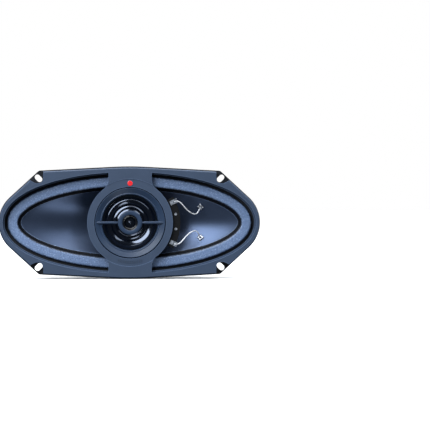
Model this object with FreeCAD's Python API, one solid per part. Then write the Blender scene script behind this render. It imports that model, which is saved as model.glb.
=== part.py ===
import FreeCAD, Part
import math
import os

# Coaxial car speaker, 4 by 10 inch, two-way, with its tweeter carried on a bridge.
# Millimetres. X is the long way, Z is the short way and points up, and the front faces -Y.
# The origin is on the cone's axis, in the plane of the flange's rear face, which seats on the panel.

Vec = FreeCAD.Vector

# ---------------------------------------------------------------- driving sizes
# Flange and trim outline
flange_length = 260.0
flange_height = 111.8
flange_end_radius = 34.0
flange_shoulder_angle = 47.4     # normal of the slanted edge, from the long axis
flange_side_slope = 3.0          # the long edges fall away from a short arc in the middle, degrees
flange_side_radius = 320.0       # that arc
flange_corner_radius = 3.5
steel = 1.2                      # sheet thickness of the basket
trim_inset = 1.2                 # steel rim left showing round the trim
trim_height = 9.8                # front of the flange to the front of the trim
trim_bevel = 0.9
end_rim = 4.5                    # from the flange's edge to the trim's opening, at the narrow ends
side_rim = 5.7                   # and at the middle of the long sides
pin_radius = 1.5                 # locating pins under the trim
pin_clearance = 0.1
trim_lip = 1.5                   # ledge inside the trim's opening
trim_lip_drop = 5.0              # how far that ledge lies behind the trim's front

# Screw slots
slot_spacing_x = 181.0
slot_spacing_z = 88.0
slot_width = 5.4
slot_length = 8.4
slot_angle = 45.0
notch_reach = 5.0                # trim cut back round each slot
notch_radius = 4.4
notch_slope = 27.0               # rise of the notch towards the slanted edge, degrees

# Surround and cone
surround_reach = 9.3             # roll centreline to the trim's inner edge
roll_radius = 5.4
foam = 0.9                       # surround thickness
hollow_share = 0.96              # the roll is a little thicker at its crest
glue_land = 3.2                  # width of the surround's outer flange
cone_lap = 1.6                   # width of the surround's inner flange
ledge_drop = 4.2                 # flange front to the surround's seat
cone_depth = 25.8
cone_flare = 1.15
cone_wall = 0.9                  # measured along the axis
cone_travel = 4.0

# Motor
former_radius = 12.5             # inside
former_wall = 0.25
former_length = 30.5
winding_wall = 0.8
winding_length = 10.0
coil_gap = 0.4
plate_radius = 34.0
plate_thickness = 5.0
magnet_radius = 40.0
magnet_bore = 19.0
magnet_thickness = 14.0
yoke_radius = 36.0
yoke_thickness = 5.0
yoke_chamfer = 1.5
pole_vent_radius = 4.0

# Basket behind the flange
wall_step = 9.4                  # inner face of the step, from the roll centreline
ledge_lip = 0.6                  # the ledge runs this far inside the wall
basket_depth = 36.0              # to the back of the spider's landing
basket_end = 48.0                # half length of the landing
basket_side = 40.0               # half height of the landing
cup_radius = 34.1
cup_depth = 10.2
cup_bore = 15.5
window_radius = 3.0
window_bar = 6.0                 # solid wall beside and between the end windows
window_length = 21.0
spine_half_width = 12.5          # solid wall along the middle of each end
side_spine = 7.0                 # half width of the solid wall in the middle of each long side
side_window_length = 23.0
rivet_radius = 2.2
rivet_circle = 25.0
rivet_head = 1.1

# Spider
spider_rim = 3.6
spider_cloth = 0.5
spider_wave = 1.3
spider_waves = 5
spider_collar = 1.3

# Dust cap
cap_height = 5.0
cap_wall = 0.5
cap_skirt = 2.2

# Bridge and tweeter
bridge_half_width = 21.3
bridge_fillet = 11.4
bridge_thickness = 3.6
ring_radius = 42.4
ring_recess = 0.4
ring_recess_rim = 0.9            # the recess runs past the ring by this much, across the necks
face_radius = 35.2
face_gap = 0.3
shoulder_radius = 32.1
shoulder_thickness = 1.2
funnel_radius = 29.4
funnel_depth = 2.4
throat_radius = 27.4
skirt_radius = 31.7
skirt_depth = 5.3                # rear of the bridge ring's seat to the diaphragm's plane
bar_width = 3.0
bar_thickness = 2.0
throat_lip = 0.9                 # raised lip round the throat
throat_lip_rise = 0.3
bar_recess = 0.4                 # behind the face
bar_end = 0.9                    # short of the face's edge
hub_recess = 0.2
hub_radius = 12.0
hub_thickness = 2.2
hub_edge = 1.2
hub_mouth = 7.4
hub_hole = 5.2
dome_radius = 13.6
dome_height = 3.2
tweeter_roll_in = 17.6
tweeter_roll_out = 25.0
tweeter_roll_height = 2.3
film = 0.3
film_rim = 28.6
film_joint = 0.05                # between the dome's film and the roll, which are modelled apart
tweeter_travel = 0.3
tweeter_cup_radius = 27.6
tweeter_cup_depth = 7.0
cup_wall = 1.4
tweeter_plate_radius = 15.0
tweeter_plate = 2.0
tweeter_magnet_thickness = 4.4
tweeter_yoke = 2.0
tweeter_coil_radius = 9.6
tweeter_coil_wall = 0.5
tweeter_coil_gap = 0.35
tweeter_screw_circle = 29.8
tweeter_screw_radius = 1.1
tweeter_screw_head = 1.9
tweeter_screw_height = 1.2
tweeter_screw_grip = 3.2         # length in the face
tweeter_ear = 2.0                # thickness of the cup's rim, which the screws clamp

# Red inlay and the row of plain ribs, in place of a badge
inlay_radius = 2.6
inlay_height = 0.5
inlay_pocket = 0.7
rib_count = 11
rib_pitch = 3.4                  # degrees along the ring
rib_size = (1.0, 2.6, 0.35)

# Tag strip, lugs, capacitor and leads
strip_inner = 37.0
strip_outer = 50.0
strip_half_angle = 31.0
strip_thickness = 1.6
lug_angle = 25.5
lug_reach = 46.6
lug_length = 7.6
lug_width = 4.2
lug_metal = 0.5
lug_wing = 3.0                   # length of the two wings
lug_wing_height = 1.5
eyelet_x = 71.0
eyelet_z = 15.5
eyelet_radius = 2.3
eyelet_stem = 1.1
eyelet_front = 1.6               # how far the stem stands out in front of the cone
eyelet_back = 2.9                # and behind the cone's front face
lead_diameter = 1.1
capacitor_radius = 4.6
capacitor_length = 17.0
capacitor_x = 38.6
wire_diameter = 1.0
strip_rivet_head = 1.3
strip_rivet_tail = 0.6
capacitor_wire = 0.8
capacitor_wire_reach = 3.5       # from the can's end to the wire's bend
capacitor_edge = 0.7
capacitor_groove = 2.2           # from the can's end to the rolled groove

# Terminal block at the right-hand end
block_centre = 87.0
block_length = 16.0
block_half_height = 9.0
block_inner = 20.5
block_depth = 12.5
block_flange = 2.4
block_clearance = 0.15
blade_offset = 5.0
blade_metal = 0.8
blade_wide = 4.8
blade_narrow = 2.8
blade_tail = 1.8                 # solder tail inside the basket
blade_reach = 11.5               # push-on length outside the block

# ---------------------------------------------------------------- sizes that follow
flange_front = -steel
trim_front = flange_front - trim_height
opening_a = flange_length / 2 - end_rim
opening_b = flange_height / 2 - side_rim
roll_a = opening_a - surround_reach
roll_b = opening_b - surround_reach
ledge_front = flange_front + ledge_drop
ledge_back = ledge_front + steel
wall_out = wall_step + steel
wall_in = roll_radius - 0.6
cone_reach = -(roll_radius + cone_lap)
cone_rim = ledge_front
neck_radius = former_radius + former_wall
neck_depth = cone_rim + cone_depth
landing_front = basket_depth - steel
cup_floor = basket_depth + cup_depth
plate_front = cup_floor
plate_back = plate_front + plate_thickness
magnet_back = plate_back + magnet_thickness
yoke_back = magnet_back + yoke_thickness
winding_radius = neck_radius + winding_wall
gap_radius = winding_radius + coil_gap
pole_radius = former_radius - coil_gap
coil_middle = plate_front + plate_thickness / 2
former_back = coil_middle + winding_length / 2 + 0.8
former_front = former_back - former_length
bridge_back = trim_front + bridge_thickness
ring_front = trim_front + ring_recess
seat_front = bridge_back - shoulder_thickness
face_front = trim_front + 0.3
diaphragm_plane = seat_front + skirt_depth
blade_start = block_inner - blade_tail
blade_end = block_inner + block_depth + blade_reach
ring_middle = (face_radius + face_gap + ring_radius) / 2
strip_front = bridge_back
strip_back = bridge_back + strip_thickness


# ---------------------------------------------------------------- helpers
def round_the_roll(reach, phi):
    """Point of the curve that runs at a distance `reach` outside the roll's centreline ellipse."""
    across, up = roll_b * math.cos(phi), roll_a * math.sin(phi)
    size = math.hypot(across, up)
    return roll_a * math.cos(phi) + reach * across / size, roll_b * math.sin(phi) + reach * up / size


def closed_wire(points, depth):
    """A smooth closed wire through (x, z) points in the plane at that depth."""
    curve = Part.BSplineCurve()
    curve.interpolate(Points=[Vec(x, depth, z) for x, z in points], PeriodicFlag=True)
    return Part.Wire([curve.toShape()])


def angles(count=48):
    return [2 * math.pi * i / count for i in range(count)]


def ring_wire(reach, depth):
    return closed_wire([round_the_roll(reach, p) for p in angles()], depth)


def prism(wire, front, back):
    """The wire's flat face, carried from one depth to another; the wire lies at depth 0."""
    face = Part.Face(wire)
    face.translate(Vec(0, front, 0))
    return face.extrude(Vec(0, back - front, 0))


def oval(reach, front, back):
    return prism(ring_wire(reach, 0), front, back)


def disc(radius, front, back, x=0.0, z=0.0):
    return Part.makeCylinder(radius, back - front, Vec(x, front, z), Vec(0, 1, 0))


def upright(solid):
    """The same solid with its faces pointing outwards."""
    if solid.Volume < 0:
        solid.reverse()
    return solid


def turned(profile):
    """Solid of revolution about the speaker's axis from (radius, depth) corners."""
    corners = [Vec(r, y, 0) for r, y in profile]
    wire = Part.makePolygon(corners + corners[:1])
    return upright(Part.Face(wire).revolve(Vec(0, 0, 0), Vec(0, 1, 0), 360))


def skin(front_curve, back_curve):
    """Solid of revolution between two smooth (radius, depth) curves that share their end radii."""
    front, back = Part.BSplineCurve(), Part.BSplineCurve()
    front.interpolate([Vec(r, y, 0) for r, y in front_curve])
    back.interpolate([Vec(r, y, 0) for r, y in back_curve])
    inner = Part.makeLine(Vec(*front_curve[0], 0), Vec(*back_curve[0], 0))
    outer = Part.makeLine(Vec(*front_curve[-1], 0), Vec(*back_curve[-1], 0))
    edges = Part.__sortEdges__([front.toShape(), outer, back.toShape(), inner])
    return upright(Part.Face(Part.Wire(edges)).revolve(Vec(0, 0, 0), Vec(0, 1, 0), 360))


def box(x0, x1, y0, y1, z0, z1):
    return Part.makeBox(x1 - x0, y1 - y0, z1 - z0, Vec(x0, y0, z0))


def along_depth(shape):
    """Edges of a shape that run along the axis."""
    straight = [e for e in shape.Edges if len(e.Vertexes) == 2]
    return [e for e in straight if abs((e.Vertexes[1].Point - e.Vertexes[0].Point).normalize().y) > 0.999]


def round_edges(shape, depth):
    """Circular edges of a shape in the plane at that depth."""
    return [e for e in shape.Edges if len(e.Vertexes) == 1 and abs(e.Vertexes[0].Point.y - depth) < 0.01]


def spun(shape, degrees):
    copy = shape.copy()
    copy.rotate(Vec(0, 0, 0), Vec(0, 1, 0), -degrees)
    return copy


def polar(radius, degrees):
    return radius * math.cos(math.radians(degrees)), radius * math.sin(math.radians(degrees))


def joined(shapes):
    whole = shapes[0]
    for other in shapes[1:]:
        whole = whole.fuse(other)
    return whole.removeSplitter()


def four_ways(shape):
    """A shape and its mirror images in X and Z."""
    half = [shape, shape.mirror(Vec(0, 0, 0), Vec(1, 0, 0))]
    return half + [s.mirror(Vec(0, 0, 0), Vec(0, 0, 1)) for s in half]


def route(points, diameter, name):
    """Tube along straight runs joined by tangent arcs; prints its arc radii and its length."""
    points = [Vec(*p) for p in points]
    edges, start, radii = [], points[0], []
    for before, corner, after in zip(points, points[1:], points[2:]):
        back, on = (before - corner), (after - corner)
        runs = min(back.Length, on.Length)
        back.normalize()
        on.normalize()
        turn = math.pi - math.acos(max(-1.0, min(1.0, back.dot(on))))
        reach = 0.45 * runs
        radius = reach / math.tan(turn / 2)
        radii.append(round(radius, 1))
        inward = (back + on).normalize()
        middle = corner + inward * (radius * (1 / math.cos(turn / 2) - 1))
        enter, leave = corner + back * reach, corner + on * reach
        edges.append(Part.LineSegment(start, enter).toShape())
        edges.append(Part.Arc(enter, middle, leave).toShape())
        start = leave
    edges.append(Part.LineSegment(start, points[-1]).toShape())
    path = Part.Wire(edges)
    heading = (points[1] - points[0]).normalize()
    section = Part.Wire([Part.makeCircle(diameter / 2, points[0], heading)])
    tube = path.makePipeShell([section], True, True)
    share = tube.Volume / (math.pi * diameter ** 2 / 4 * path.Length)
    print(f"{name}: radii {radii} mm, length {path.Length:.1f} mm, volume share {share:.3f}")
    return tube


# ---------------------------------------------------------------- the flange's outline
def flange_outline(inset):
    """Outline of the flange, moved inwards by `inset`, as a wire at depth 0.

    Each quarter runs from the end arc along the slanted edge to a corner, then along the
    sloping side to the short arc in the middle.
    """
    end_radius = flange_end_radius - inset
    side_radius = flange_side_radius - inset
    lean = math.radians(flange_shoulder_angle)
    slope = math.radians(flange_side_slope)
    middle = flange_length / 2 - flange_end_radius
    touch = Vec(middle + end_radius * math.cos(lean), 0, end_radius * math.sin(lean))
    run = Vec(-math.sin(lean), 0, math.cos(lean))
    crown = Vec(0, 0, flange_height / 2 - inset)
    bow = crown + Vec(side_radius * math.sin(slope), 0, side_radius * (math.cos(slope) - 1))
    fall = Vec(math.cos(slope), 0, -math.sin(slope))
    gap = bow - touch
    along = (gap.x * fall.z - gap.z * fall.x) / (run.x * fall.z - run.z * fall.x)
    corner = touch + run * along

    def flip(v, x, z):
        return Vec(v.x * x, 0, v.z * z)

    edges = []
    for x, z in ((1, 1), (-1, 1), (-1, -1), (1, -1)):
        edges.append(Part.makeLine(flip(touch, x, z), flip(corner, x, z)))
        edges.append(Part.makeLine(flip(corner, x, z), flip(bow, x, z)))
    end = Vec(middle + end_radius, 0, 0)
    for z in (1, -1):
        edges.append(Part.Arc(flip(bow, 1, z), flip(crown, 1, z), flip(bow, -1, z)).toShape())
    for x in (1, -1):
        edges.append(Part.Arc(flip(touch, x, 1), flip(end, x, 1), flip(touch, x, -1)).toShape())
    return Part.Wire(Part.__sortEdges__(edges))


def flange_plate(inset, front, back):
    plate = prism(flange_outline(inset), front, back)
    corner_x = max(v.Point.x for v in plate.Vertexes if v.Point.z > flange_height * 0.4)
    corners = [e for e in along_depth(plate) if abs(abs(e.Vertexes[0].Point.x) - corner_x) < 0.01]
    return plate.makeFillet(flange_corner_radius, corners)


# ---------------------------------------------------------------- basket
def basket_section(share, depth, inset=0.0):
    """Wall outline, from the ledge (share 0) to the spider's landing (share 1)."""
    points = []
    for phi in angles():
        x, z = round_the_roll(wall_in + steel - inset, phi)
        end = (basket_end - inset) * math.cos(phi), (basket_side - inset) * math.sin(phi)
        points.append((x + (end[0] - x) * share, z + (end[1] - z) * share))
    return closed_wire(points, depth)


wall_stations = ((0.0, 0.0), (0.03, 0.2), (0.2, 0.5), (0.55, 0.78), (1.0, 1.0))


def wall_body(inset, shift):
    """Filled shape inside one face of the wall, from the ledge to the landing."""
    wires = []
    for share, way in wall_stations:
        depth = ledge_back + (basket_depth - ledge_back) * way + shift
        wires.append(basket_section(share, depth, inset))
    return Part.makeLoft(wires, True, False)


def end_window(x0, x1, inner, outer0, outer1):
    """Cutter for a window in an end wall: four corners in X and Z, rounded."""
    corners = [(x0, inner), (x1, inner), (x1, outer1), (x0, outer0)]
    wire = Part.makePolygon([Vec(x, 0, z) for x, z in corners + corners[:1]])
    cutter = prism(wire, ledge_back + 3.0, basket_depth + 4.0)
    radius = min(window_radius, 0.4 * (outer1 - inner))
    return cutter.makeFillet(radius, along_depth(cutter))


def inner_window():
    start = basket_end + window_bar
    return end_window(start, start + window_length, spine_half_width, 28.0, 27.0)


def outer_window():
    start = basket_end + 2 * window_bar + window_length
    return end_window(start, start + window_length - 2.0, spine_half_width, 25.0, 17.5)


def side_window():
    """Cutter through the long wall, beside the spine that carries the landing."""
    low, high = ledge_back + 5.5, basket_depth - 7.0
    far = side_spine + side_window_length
    cutter = box(side_spine, far, low, high, basket_side - 12.0, basket_side + 30.0)
    vertical = [e for e in cutter.Edges if abs(e.tangentAt(e.FirstParameter).z) > 0.999]
    return cutter.makeFillet(window_radius, vertical)


def screw_slots(front, back):
    slots = []
    for x, z in ((1, 1), (-1, 1), (-1, -1), (1, -1)):
        half = (slot_length - slot_width) / 2
        bar = box(-half, half, front, back, -slot_width / 2, slot_width / 2)
        ends = [disc(slot_width / 2, front, back, x=s * half) for s in (-1, 1)]
        slot = spun(joined([bar] + ends), slot_angle * x * z)
        slot.translate(Vec(x * slot_spacing_x / 2, 0, z * slot_spacing_z / 2))
        slots.append(slot)
    return slots


def locating_pins(front, back, radius):
    """Pins of the trim that pass through the flange, beside the feet of the bridge."""
    x = bridge_half_width + 2 * pin_radius
    z = opening_b + pin_radius + 0.4
    return four_ways(disc(radius, front, back, x=x, z=z))


def block_cutter(grow):
    half = block_length / 2 + grow
    high = block_half_height + grow
    back = block_inner + block_depth
    return box(block_centre - half, block_centre + half, block_inner, back, -high, high)


def make_basket():
    flange = flange_plate(0.0, flange_front, 0.0)
    step = oval(wall_out, flange_front, ledge_back)
    hollow = oval(wall_step, flange_front - 1, ledge_front)
    throat = oval(wall_in - ledge_lip, ledge_front - 1, ledge_back + 1)
    rim = flange.fuse(step).cut(hollow.fuse(throat))
    wall = wall_body(0.0, 0.0).cut(wall_body(steel, -steel))
    floor = cup_floor - steel
    cup = disc(cup_radius, landing_front + 0.01, cup_floor)
    cup = cup.cut(disc(cup_radius - steel, landing_front - 1, floor))
    landing_hole = disc(cup_radius - steel, landing_front - 2, basket_depth + 1)
    body = rim.fuse(wall.cut(landing_hole)).fuse(cup).cut(disc(cup_bore, floor - 1, cup_floor + 1))
    cutters = screw_slots(flange_front - 1, 1.0)
    cutters += locating_pins(flange_front - 1, 1.0, pin_radius + pin_clearance)
    cutters += plate_rivet_shanks(rivet_radius) + [block_cutter(block_clearance)]
    for window in (inner_window(), outer_window(), side_window()):
        cutters += four_ways(window)
    return body.cut(cutters).removeSplitter()


def plate_rivet_shanks(radius):
    front, back = cup_floor - steel - 0.001, plate_front + plate_thickness * 0.5
    places = [polar(rivet_circle, a) for a in (45, 135, 225, 315)]
    return [disc(radius, front, back, x=x, z=z) for x, z in places]


def make_plate_rivets():
    """Studs of the front plate, peened over inside the basket."""
    rivets = []
    for x, z in [polar(rivet_circle, a) for a in (45, 135, 225, 315)]:
        floor = cup_floor - steel
        head = disc(rivet_radius * 1.6, floor - rivet_head, floor, x=x, z=z)
        head = head.makeFillet(rivet_head * 0.7, round_edges(head, floor - rivet_head))
        shank = disc(rivet_radius, floor - 0.1, plate_front + plate_thickness * 0.5, x=x, z=z)
        rivets.append(head.fuse(shank).removeSplitter())
    return Part.makeCompound(rivets)


# ---------------------------------------------------------------- trim with bridge
def bridge_outline(radius, top):
    """Disc with a neck up and a neck down, blended by fillets, as one wire at depth 0."""
    away = bridge_half_width + bridge_fillet
    up = math.sqrt((radius + bridge_fillet) ** 2 - away ** 2)
    centre = Vec(away, 0, up)
    touch = centre * (radius / (radius + bridge_fillet))
    foot = Vec(bridge_half_width, 0, up)
    inward = ((touch - centre).normalize() + (foot - centre).normalize()).normalize()
    middle = centre + inward * bridge_fillet

    def flip(v, x, z):
        return Vec(v.x * x, 0, v.z * z)

    edges = []
    for x, z in ((1, 1), (-1, 1), (-1, -1), (1, -1)):
        edges.append(Part.Arc(flip(touch, x, z), flip(middle, x, z), flip(foot, x, z)).toShape())
        edges.append(Part.makeLine(flip(foot, x, z), Vec(bridge_half_width * x, 0, top * z)))
    for z in (1, -1):
        ends = [Vec(bridge_half_width * x, 0, top * z) for x in (1, -1)]
        edges.append(Part.makeLine(*ends))
    for x in (1, -1):
        edges.append(Part.Arc(flip(touch, x, 1), Vec(radius * x, 0, 0), flip(touch, x, -1)).toShape())
    return Part.Wire(Part.__sortEdges__(edges))


def notch_cutters():
    """The trim is cut back to the outer edge round each screw slot."""
    x, z = slot_spacing_x / 2, slot_spacing_z / 2
    rise = math.tan(math.radians(notch_slope))
    turn = notch_reach * 0.55
    corners = [(-notch_reach, 20), (-notch_reach, -notch_reach), (turn, -notch_reach),
               (30, -notch_reach + (30 - turn) * rise), (30, 20)]
    points = [Vec(x + u, 0, z + v) for u, v in corners]
    cutter = prism(Part.makePolygon(points + points[:1]), trim_front - 1, flange_front)
    sharp = [e for e in along_depth(cutter) if abs(e.Vertexes[0].Point.z - (z - notch_reach)) < 0.01]
    return four_ways(cutter.makeFillet(notch_radius, sharp))


def make_trim():
    frame = flange_plate(trim_inset, trim_front, flange_front)
    front_rim = [e for e in frame.Edges if max(v.Point.y for v in e.Vertexes) < trim_front + 0.01]
    frame = frame.makeChamfer(trim_bevel, front_rim)
    lip_plane = trim_front + trim_lip_drop
    frame = frame.cut(oval(surround_reach, trim_front - 1, lip_plane))
    frame = frame.cut(oval(surround_reach - trim_lip, lip_plane - 1, flange_front + 1))
    top = opening_b + side_rim / 2
    bridge = prism(bridge_outline(ring_radius, top), trim_front, bridge_back)
    trim = frame.fuse(bridge)
    recess = disc(ring_radius + ring_recess_rim, trim_front - 1, ring_front)
    trim = trim.cut(recess)
    trim = trim.cut(disc(face_radius + face_gap, trim_front - 1, seat_front))
    trim = trim.cut(disc(shoulder_radius, trim_front - 1, bridge_back + 1))
    for cutter in notch_cutters():
        trim = trim.cut(cutter)
    trim = trim.cut(disc(inlay_radius, ring_front - 1, ring_front + inlay_pocket, z=ring_middle))
    for pin in locating_pins(flange_front - 0.5, -0.1, pin_radius):
        trim = trim.fuse(pin)
    return trim.removeSplitter()


def make_ribs():
    """A short row of plain raised ribs at the foot of the ring."""
    wide, tall, proud = rib_size
    ribs = []
    for i in range(rib_count):
        rib = box(-wide / 2, wide / 2, ring_front - proud, ring_front, -tall / 2, tall / 2)
        rib.translate(Vec(0, 0, -ring_middle))
        ribs.append(spun(rib, (i - (rib_count - 1) / 2) * rib_pitch))
    return Part.makeCompound(ribs)


def make_inlay():
    face = ring_front - inlay_height
    button = disc(inlay_radius, face, ring_front + inlay_pocket, z=ring_middle)
    return button.makeFillet(inlay_height * 0.7, round_edges(button, face))


# ---------------------------------------------------------------- cone, surround, spider
def cone_point(share, phi):
    x, z = round_the_roll(cone_reach, phi)
    end = neck_radius * math.cos(phi), neck_radius * math.sin(phi)
    return x + (end[0] - x) * share, z + (end[1] - z) * share


def cone_surface_depth(share):
    return cone_rim + cone_depth * share ** cone_flare


def cone_front_at(x, z):
    """Depth of the cone's front face behind a point, found by halving."""
    low, high = 0.0, 1.0
    for _ in range(40):
        share = (low + high) / 2
        a = cone_point(share, 0.0)[0]
        b = cone_point(share, math.pi / 2)[1]
        if (x / a) ** 2 + (z / b) ** 2 < 1:
            low = share
        else:
            high = share
    return cone_surface_depth(low)


def loft_shell(wires):
    return Part.makeLoft(wires, False, False).Faces


def closed_solid(faces):
    shell = Part.makeShell(faces)
    shell.sewShape()
    solid = Part.Solid(Part.Shell(shell.Faces))
    if solid.Volume < 0:
        solid.reverse()
    return solid


cone_stations = (0.0, 0.12, 0.35, 0.65, 1.0)


def make_cone():
    def wires(shift):
        return [closed_wire([cone_point(s, p) for p in angles()], cone_surface_depth(s) + shift)
                for s in cone_stations]

    front, back = wires(0.0), wires(cone_wall)
    faces = loft_shell(front) + loft_shell(back)
    faces += Part.makeLoft([front[0], back[0]], False, True).Faces
    faces += Part.makeLoft([front[-1], back[-1]], False, True).Faces
    cone = closed_solid(faces)
    for sign in (1, -1):
        cone = cone.cut(eyelet_rod(sign, eyelet_stem, 5.0, -6.0))
    return cone


def surround_section():
    """Front and back of the surround as (reach, depth) corners, from the cone to the ledge."""
    seat = ledge_front
    arc = [math.pi * i / 10 for i in range(11)]
    rise, hollow = roll_radius - foam, roll_radius - foam
    front = [(-roll_radius * math.cos(t), seat - foam - rise * math.sin(t)) for t in arc]
    back = [(-hollow * math.cos(t), seat - rise * hollow_share * math.sin(t)) for t in arc]
    return front, back


def make_surround():
    front, back = surround_section()
    seat = ledge_front
    inner, outer = -(roll_radius + cone_lap), roll_radius + glue_land
    inner_front, inner_back = ring_wire(inner, seat - foam), ring_wire(inner, seat)
    outer_front, outer_back = ring_wire(outer, seat - foam), ring_wire(outer, seat)
    front_wires = [ring_wire(r, y) for r, y in front]
    back_wires = [ring_wire(r, y) for r, y in back]
    faces = loft_shell(front_wires) + loft_shell(back_wires)
    pairs = [(inner_front, front_wires[0]), (front_wires[-1], outer_front), (inner_front, inner_back),
             (inner_back, back_wires[0]), (back_wires[-1], outer_back), (outer_front, outer_back)]
    for a, b in pairs:
        faces += Part.makeLoft([a, b], False, True).Faces
    return closed_solid(faces)


def make_spider():
    rim_out = cup_radius - steel + spider_rim + 1.2
    rim_in = cup_radius - steel - 0.4
    collar = neck_radius + spider_collar
    middle = landing_front - spider_cloth
    count = spider_waves * 8

    def wave(shift):
        points = []
        for i in range(count + 1):
            share = i / count
            fade = min(1, 6 * share, 6 * (1 - share))
            swell = spider_wave * math.sin(2 * math.pi * spider_waves * share) * fade
            points.append((collar + (rim_in - collar) * share, middle - swell + shift))
        return points

    cloth = skin(wave(0.0), wave(spider_cloth))
    rim = disc(rim_out, middle, middle + spider_cloth).cut(disc(rim_in, middle - 1, middle + 2))
    sleeve = disc(collar, middle - 1.0, middle + 1.6).cut(disc(neck_radius, middle - 2, middle + 3))
    return joined([cloth, rim, sleeve])


def make_former():
    bore = disc(former_radius, former_front - 1, former_back + 1)
    return disc(neck_radius, former_front, former_back).cut(bore)


def make_winding():
    front, back = coil_middle - winding_length / 2, coil_middle + winding_length / 2
    return disc(winding_radius, front, back).cut(disc(neck_radius, front - 1, back + 1))


def make_dust_cap():
    """Dome whose skirt slips over the front of the former."""
    outer = neck_radius + cap_wall
    ball = (outer ** 2 + cap_height ** 2) / (2 * cap_height)
    inner_ball = ball - cap_wall
    centre = former_front - cap_wall - cap_height + ball

    def sphere(radius):
        return Part.makeSphere(radius, Vec(0, centre, 0))

    dome = sphere(ball).cut(sphere(inner_ball))
    dome = dome.common(disc(outer, former_front - 20, former_front - cap_wall))
    skirt = disc(outer, former_front - cap_wall, former_front + cap_skirt)
    skirt = skirt.cut(disc(neck_radius, former_front, former_front + cap_skirt + 1))
    skirt = skirt.cut(disc(neck_radius - 1.2, former_front - 5, former_front + 1))
    return joined([skirt, dome])


# ---------------------------------------------------------------- motor
def make_front_plate():
    bore = disc(gap_radius, plate_front - 1, plate_back + 1)
    plate = disc(plate_radius, plate_front, plate_back).cut(bore)
    for hole in plate_rivet_shanks(rivet_radius):
        plate = plate.cut(hole)
    return plate


def make_magnet():
    ring = disc(magnet_radius, plate_back, magnet_back)
    ring = ring.makeChamfer(0.8, [e for e in ring.Edges if len(e.Vertexes) == 1])
    return ring.cut(disc(magnet_bore, plate_back - 1, magnet_back + 1))


def make_yoke():
    plate = disc(yoke_radius, magnet_back, yoke_back)
    plate = plate.makeChamfer(yoke_chamfer, round_edges(plate, yoke_back))
    pole = disc(pole_radius, plate_front - 0.5, magnet_back + 1)
    return joined([plate, pole]).cut(disc(pole_vent_radius, plate_front - 5, yoke_back + 1))


# ---------------------------------------------------------------- tweeter
def make_faceplate():
    """Funnel, two bars and a pierced hub, moulded as one."""
    funnel_floor = face_front + funnel_depth
    lip = funnel_radius - throat_lip
    body = turned([
        (face_radius, face_front), (funnel_radius, funnel_floor), (lip, funnel_floor - throat_lip_rise),
        (lip - throat_lip / 2, funnel_floor + throat_lip_rise), (throat_radius, diaphragm_plane),
        (skirt_radius, diaphragm_plane), (skirt_radius, seat_front), (face_radius, seat_front),
    ])
    bar_front = face_front + bar_recess
    reach = face_radius - bar_end
    bars = box(-reach, reach, bar_front, bar_front + bar_thickness, -bar_width / 2, bar_width / 2)
    edges = [e for e in bars.Edges
             if len(e.Vertexes) == 2 and e.Length > 20 and e.Vertexes[0].Point.y < bar_front + 0.1]
    bars = bars.makeFillet(bar_width * 0.4, edges)
    outside = disc(reach + 1, seat_front, diaphragm_plane)
    bars = bars.cut(outside.cut(disc(throat_radius, seat_front, diaphragm_plane)))
    hub_front = face_front + hub_recess
    hub_back = hub_front + hub_thickness
    hub = disc(hub_radius, hub_front, hub_back)
    hub = hub.makeFillet(hub_edge, round_edges(hub, hub_front))
    mouth = Part.makeCone(hub_mouth, hub_hole, hub_thickness, Vec(0, hub_front, 0), Vec(0, 1, 0))
    whole = joined([body, bars, hub]).cut(mouth)
    for screw in tweeter_screw_shanks(tweeter_screw_radius):
        whole = whole.cut(screw)
    return whole


def tweeter_screw_places():
    return [polar(tweeter_screw_circle, a) for a in (40, 140, 220, 320)]


def tweeter_screw_shanks(radius):
    front, back = diaphragm_plane - tweeter_screw_grip, diaphragm_plane + tweeter_ear
    return [disc(radius, front, back, x=x, z=z) for x, z in tweeter_screw_places()]


def make_tweeter_screws():
    screws = []
    back = diaphragm_plane + tweeter_ear
    top = back + tweeter_screw_height
    bottom = back + tweeter_screw_height / 2
    for x, z in tweeter_screw_places():
        head = disc(tweeter_screw_head, back, top, x=x, z=z)
        head = head.makeFillet(0.4 * tweeter_screw_height, round_edges(head, top))
        slot = box(-tweeter_screw_radius, tweeter_screw_radius, bottom, top + 1, -0.25, 0.25)
        cross = slot.fuse(spun(slot, 90))
        cross.translate(Vec(x, 0, z))
        shank = disc(tweeter_screw_radius, diaphragm_plane - tweeter_screw_grip, back + 0.1, x=x, z=z)
        screws.append(head.cut(cross).fuse(shank).removeSplitter())
    return Part.makeCompound(screws)


def film_height(radius):
    """How far the formed film stands in front of its plane."""
    if radius <= dome_radius:
        return dome_height * (1 - (radius / dome_radius) ** 2)
    share = (radius - tweeter_roll_in) / (tweeter_roll_out - tweeter_roll_in)
    return tweeter_roll_height * math.sin(math.pi * share)


def formed_film(start, end, steps):
    """Film between two radii, pressed to its height."""
    radii = [start + (end - start) * i / steps for i in range(steps + 1)]
    front = [(r, diaphragm_plane - film_height(r)) for r in radii]
    return skin(front, [(r, y + film) for r, y in front])


def flat_film(start, end):
    plane = diaphragm_plane
    return disc(end, plane, plane + film).cut(disc(start, plane - 1, plane + 2))


def make_tweeter_diaphragm():
    """The part of the film that travels: the dome and the flat valley round it."""
    valley = flat_film(dome_radius, tweeter_roll_in - film_joint)
    return joined([formed_film(0.0, dome_radius, 8), valley])


def make_tweeter_surround():
    """The part of the film that gives way: the half roll and the clamped rim."""
    rim = flat_film(tweeter_roll_out, film_rim)
    return joined([formed_film(tweeter_roll_in, tweeter_roll_out, 10), rim])


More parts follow.
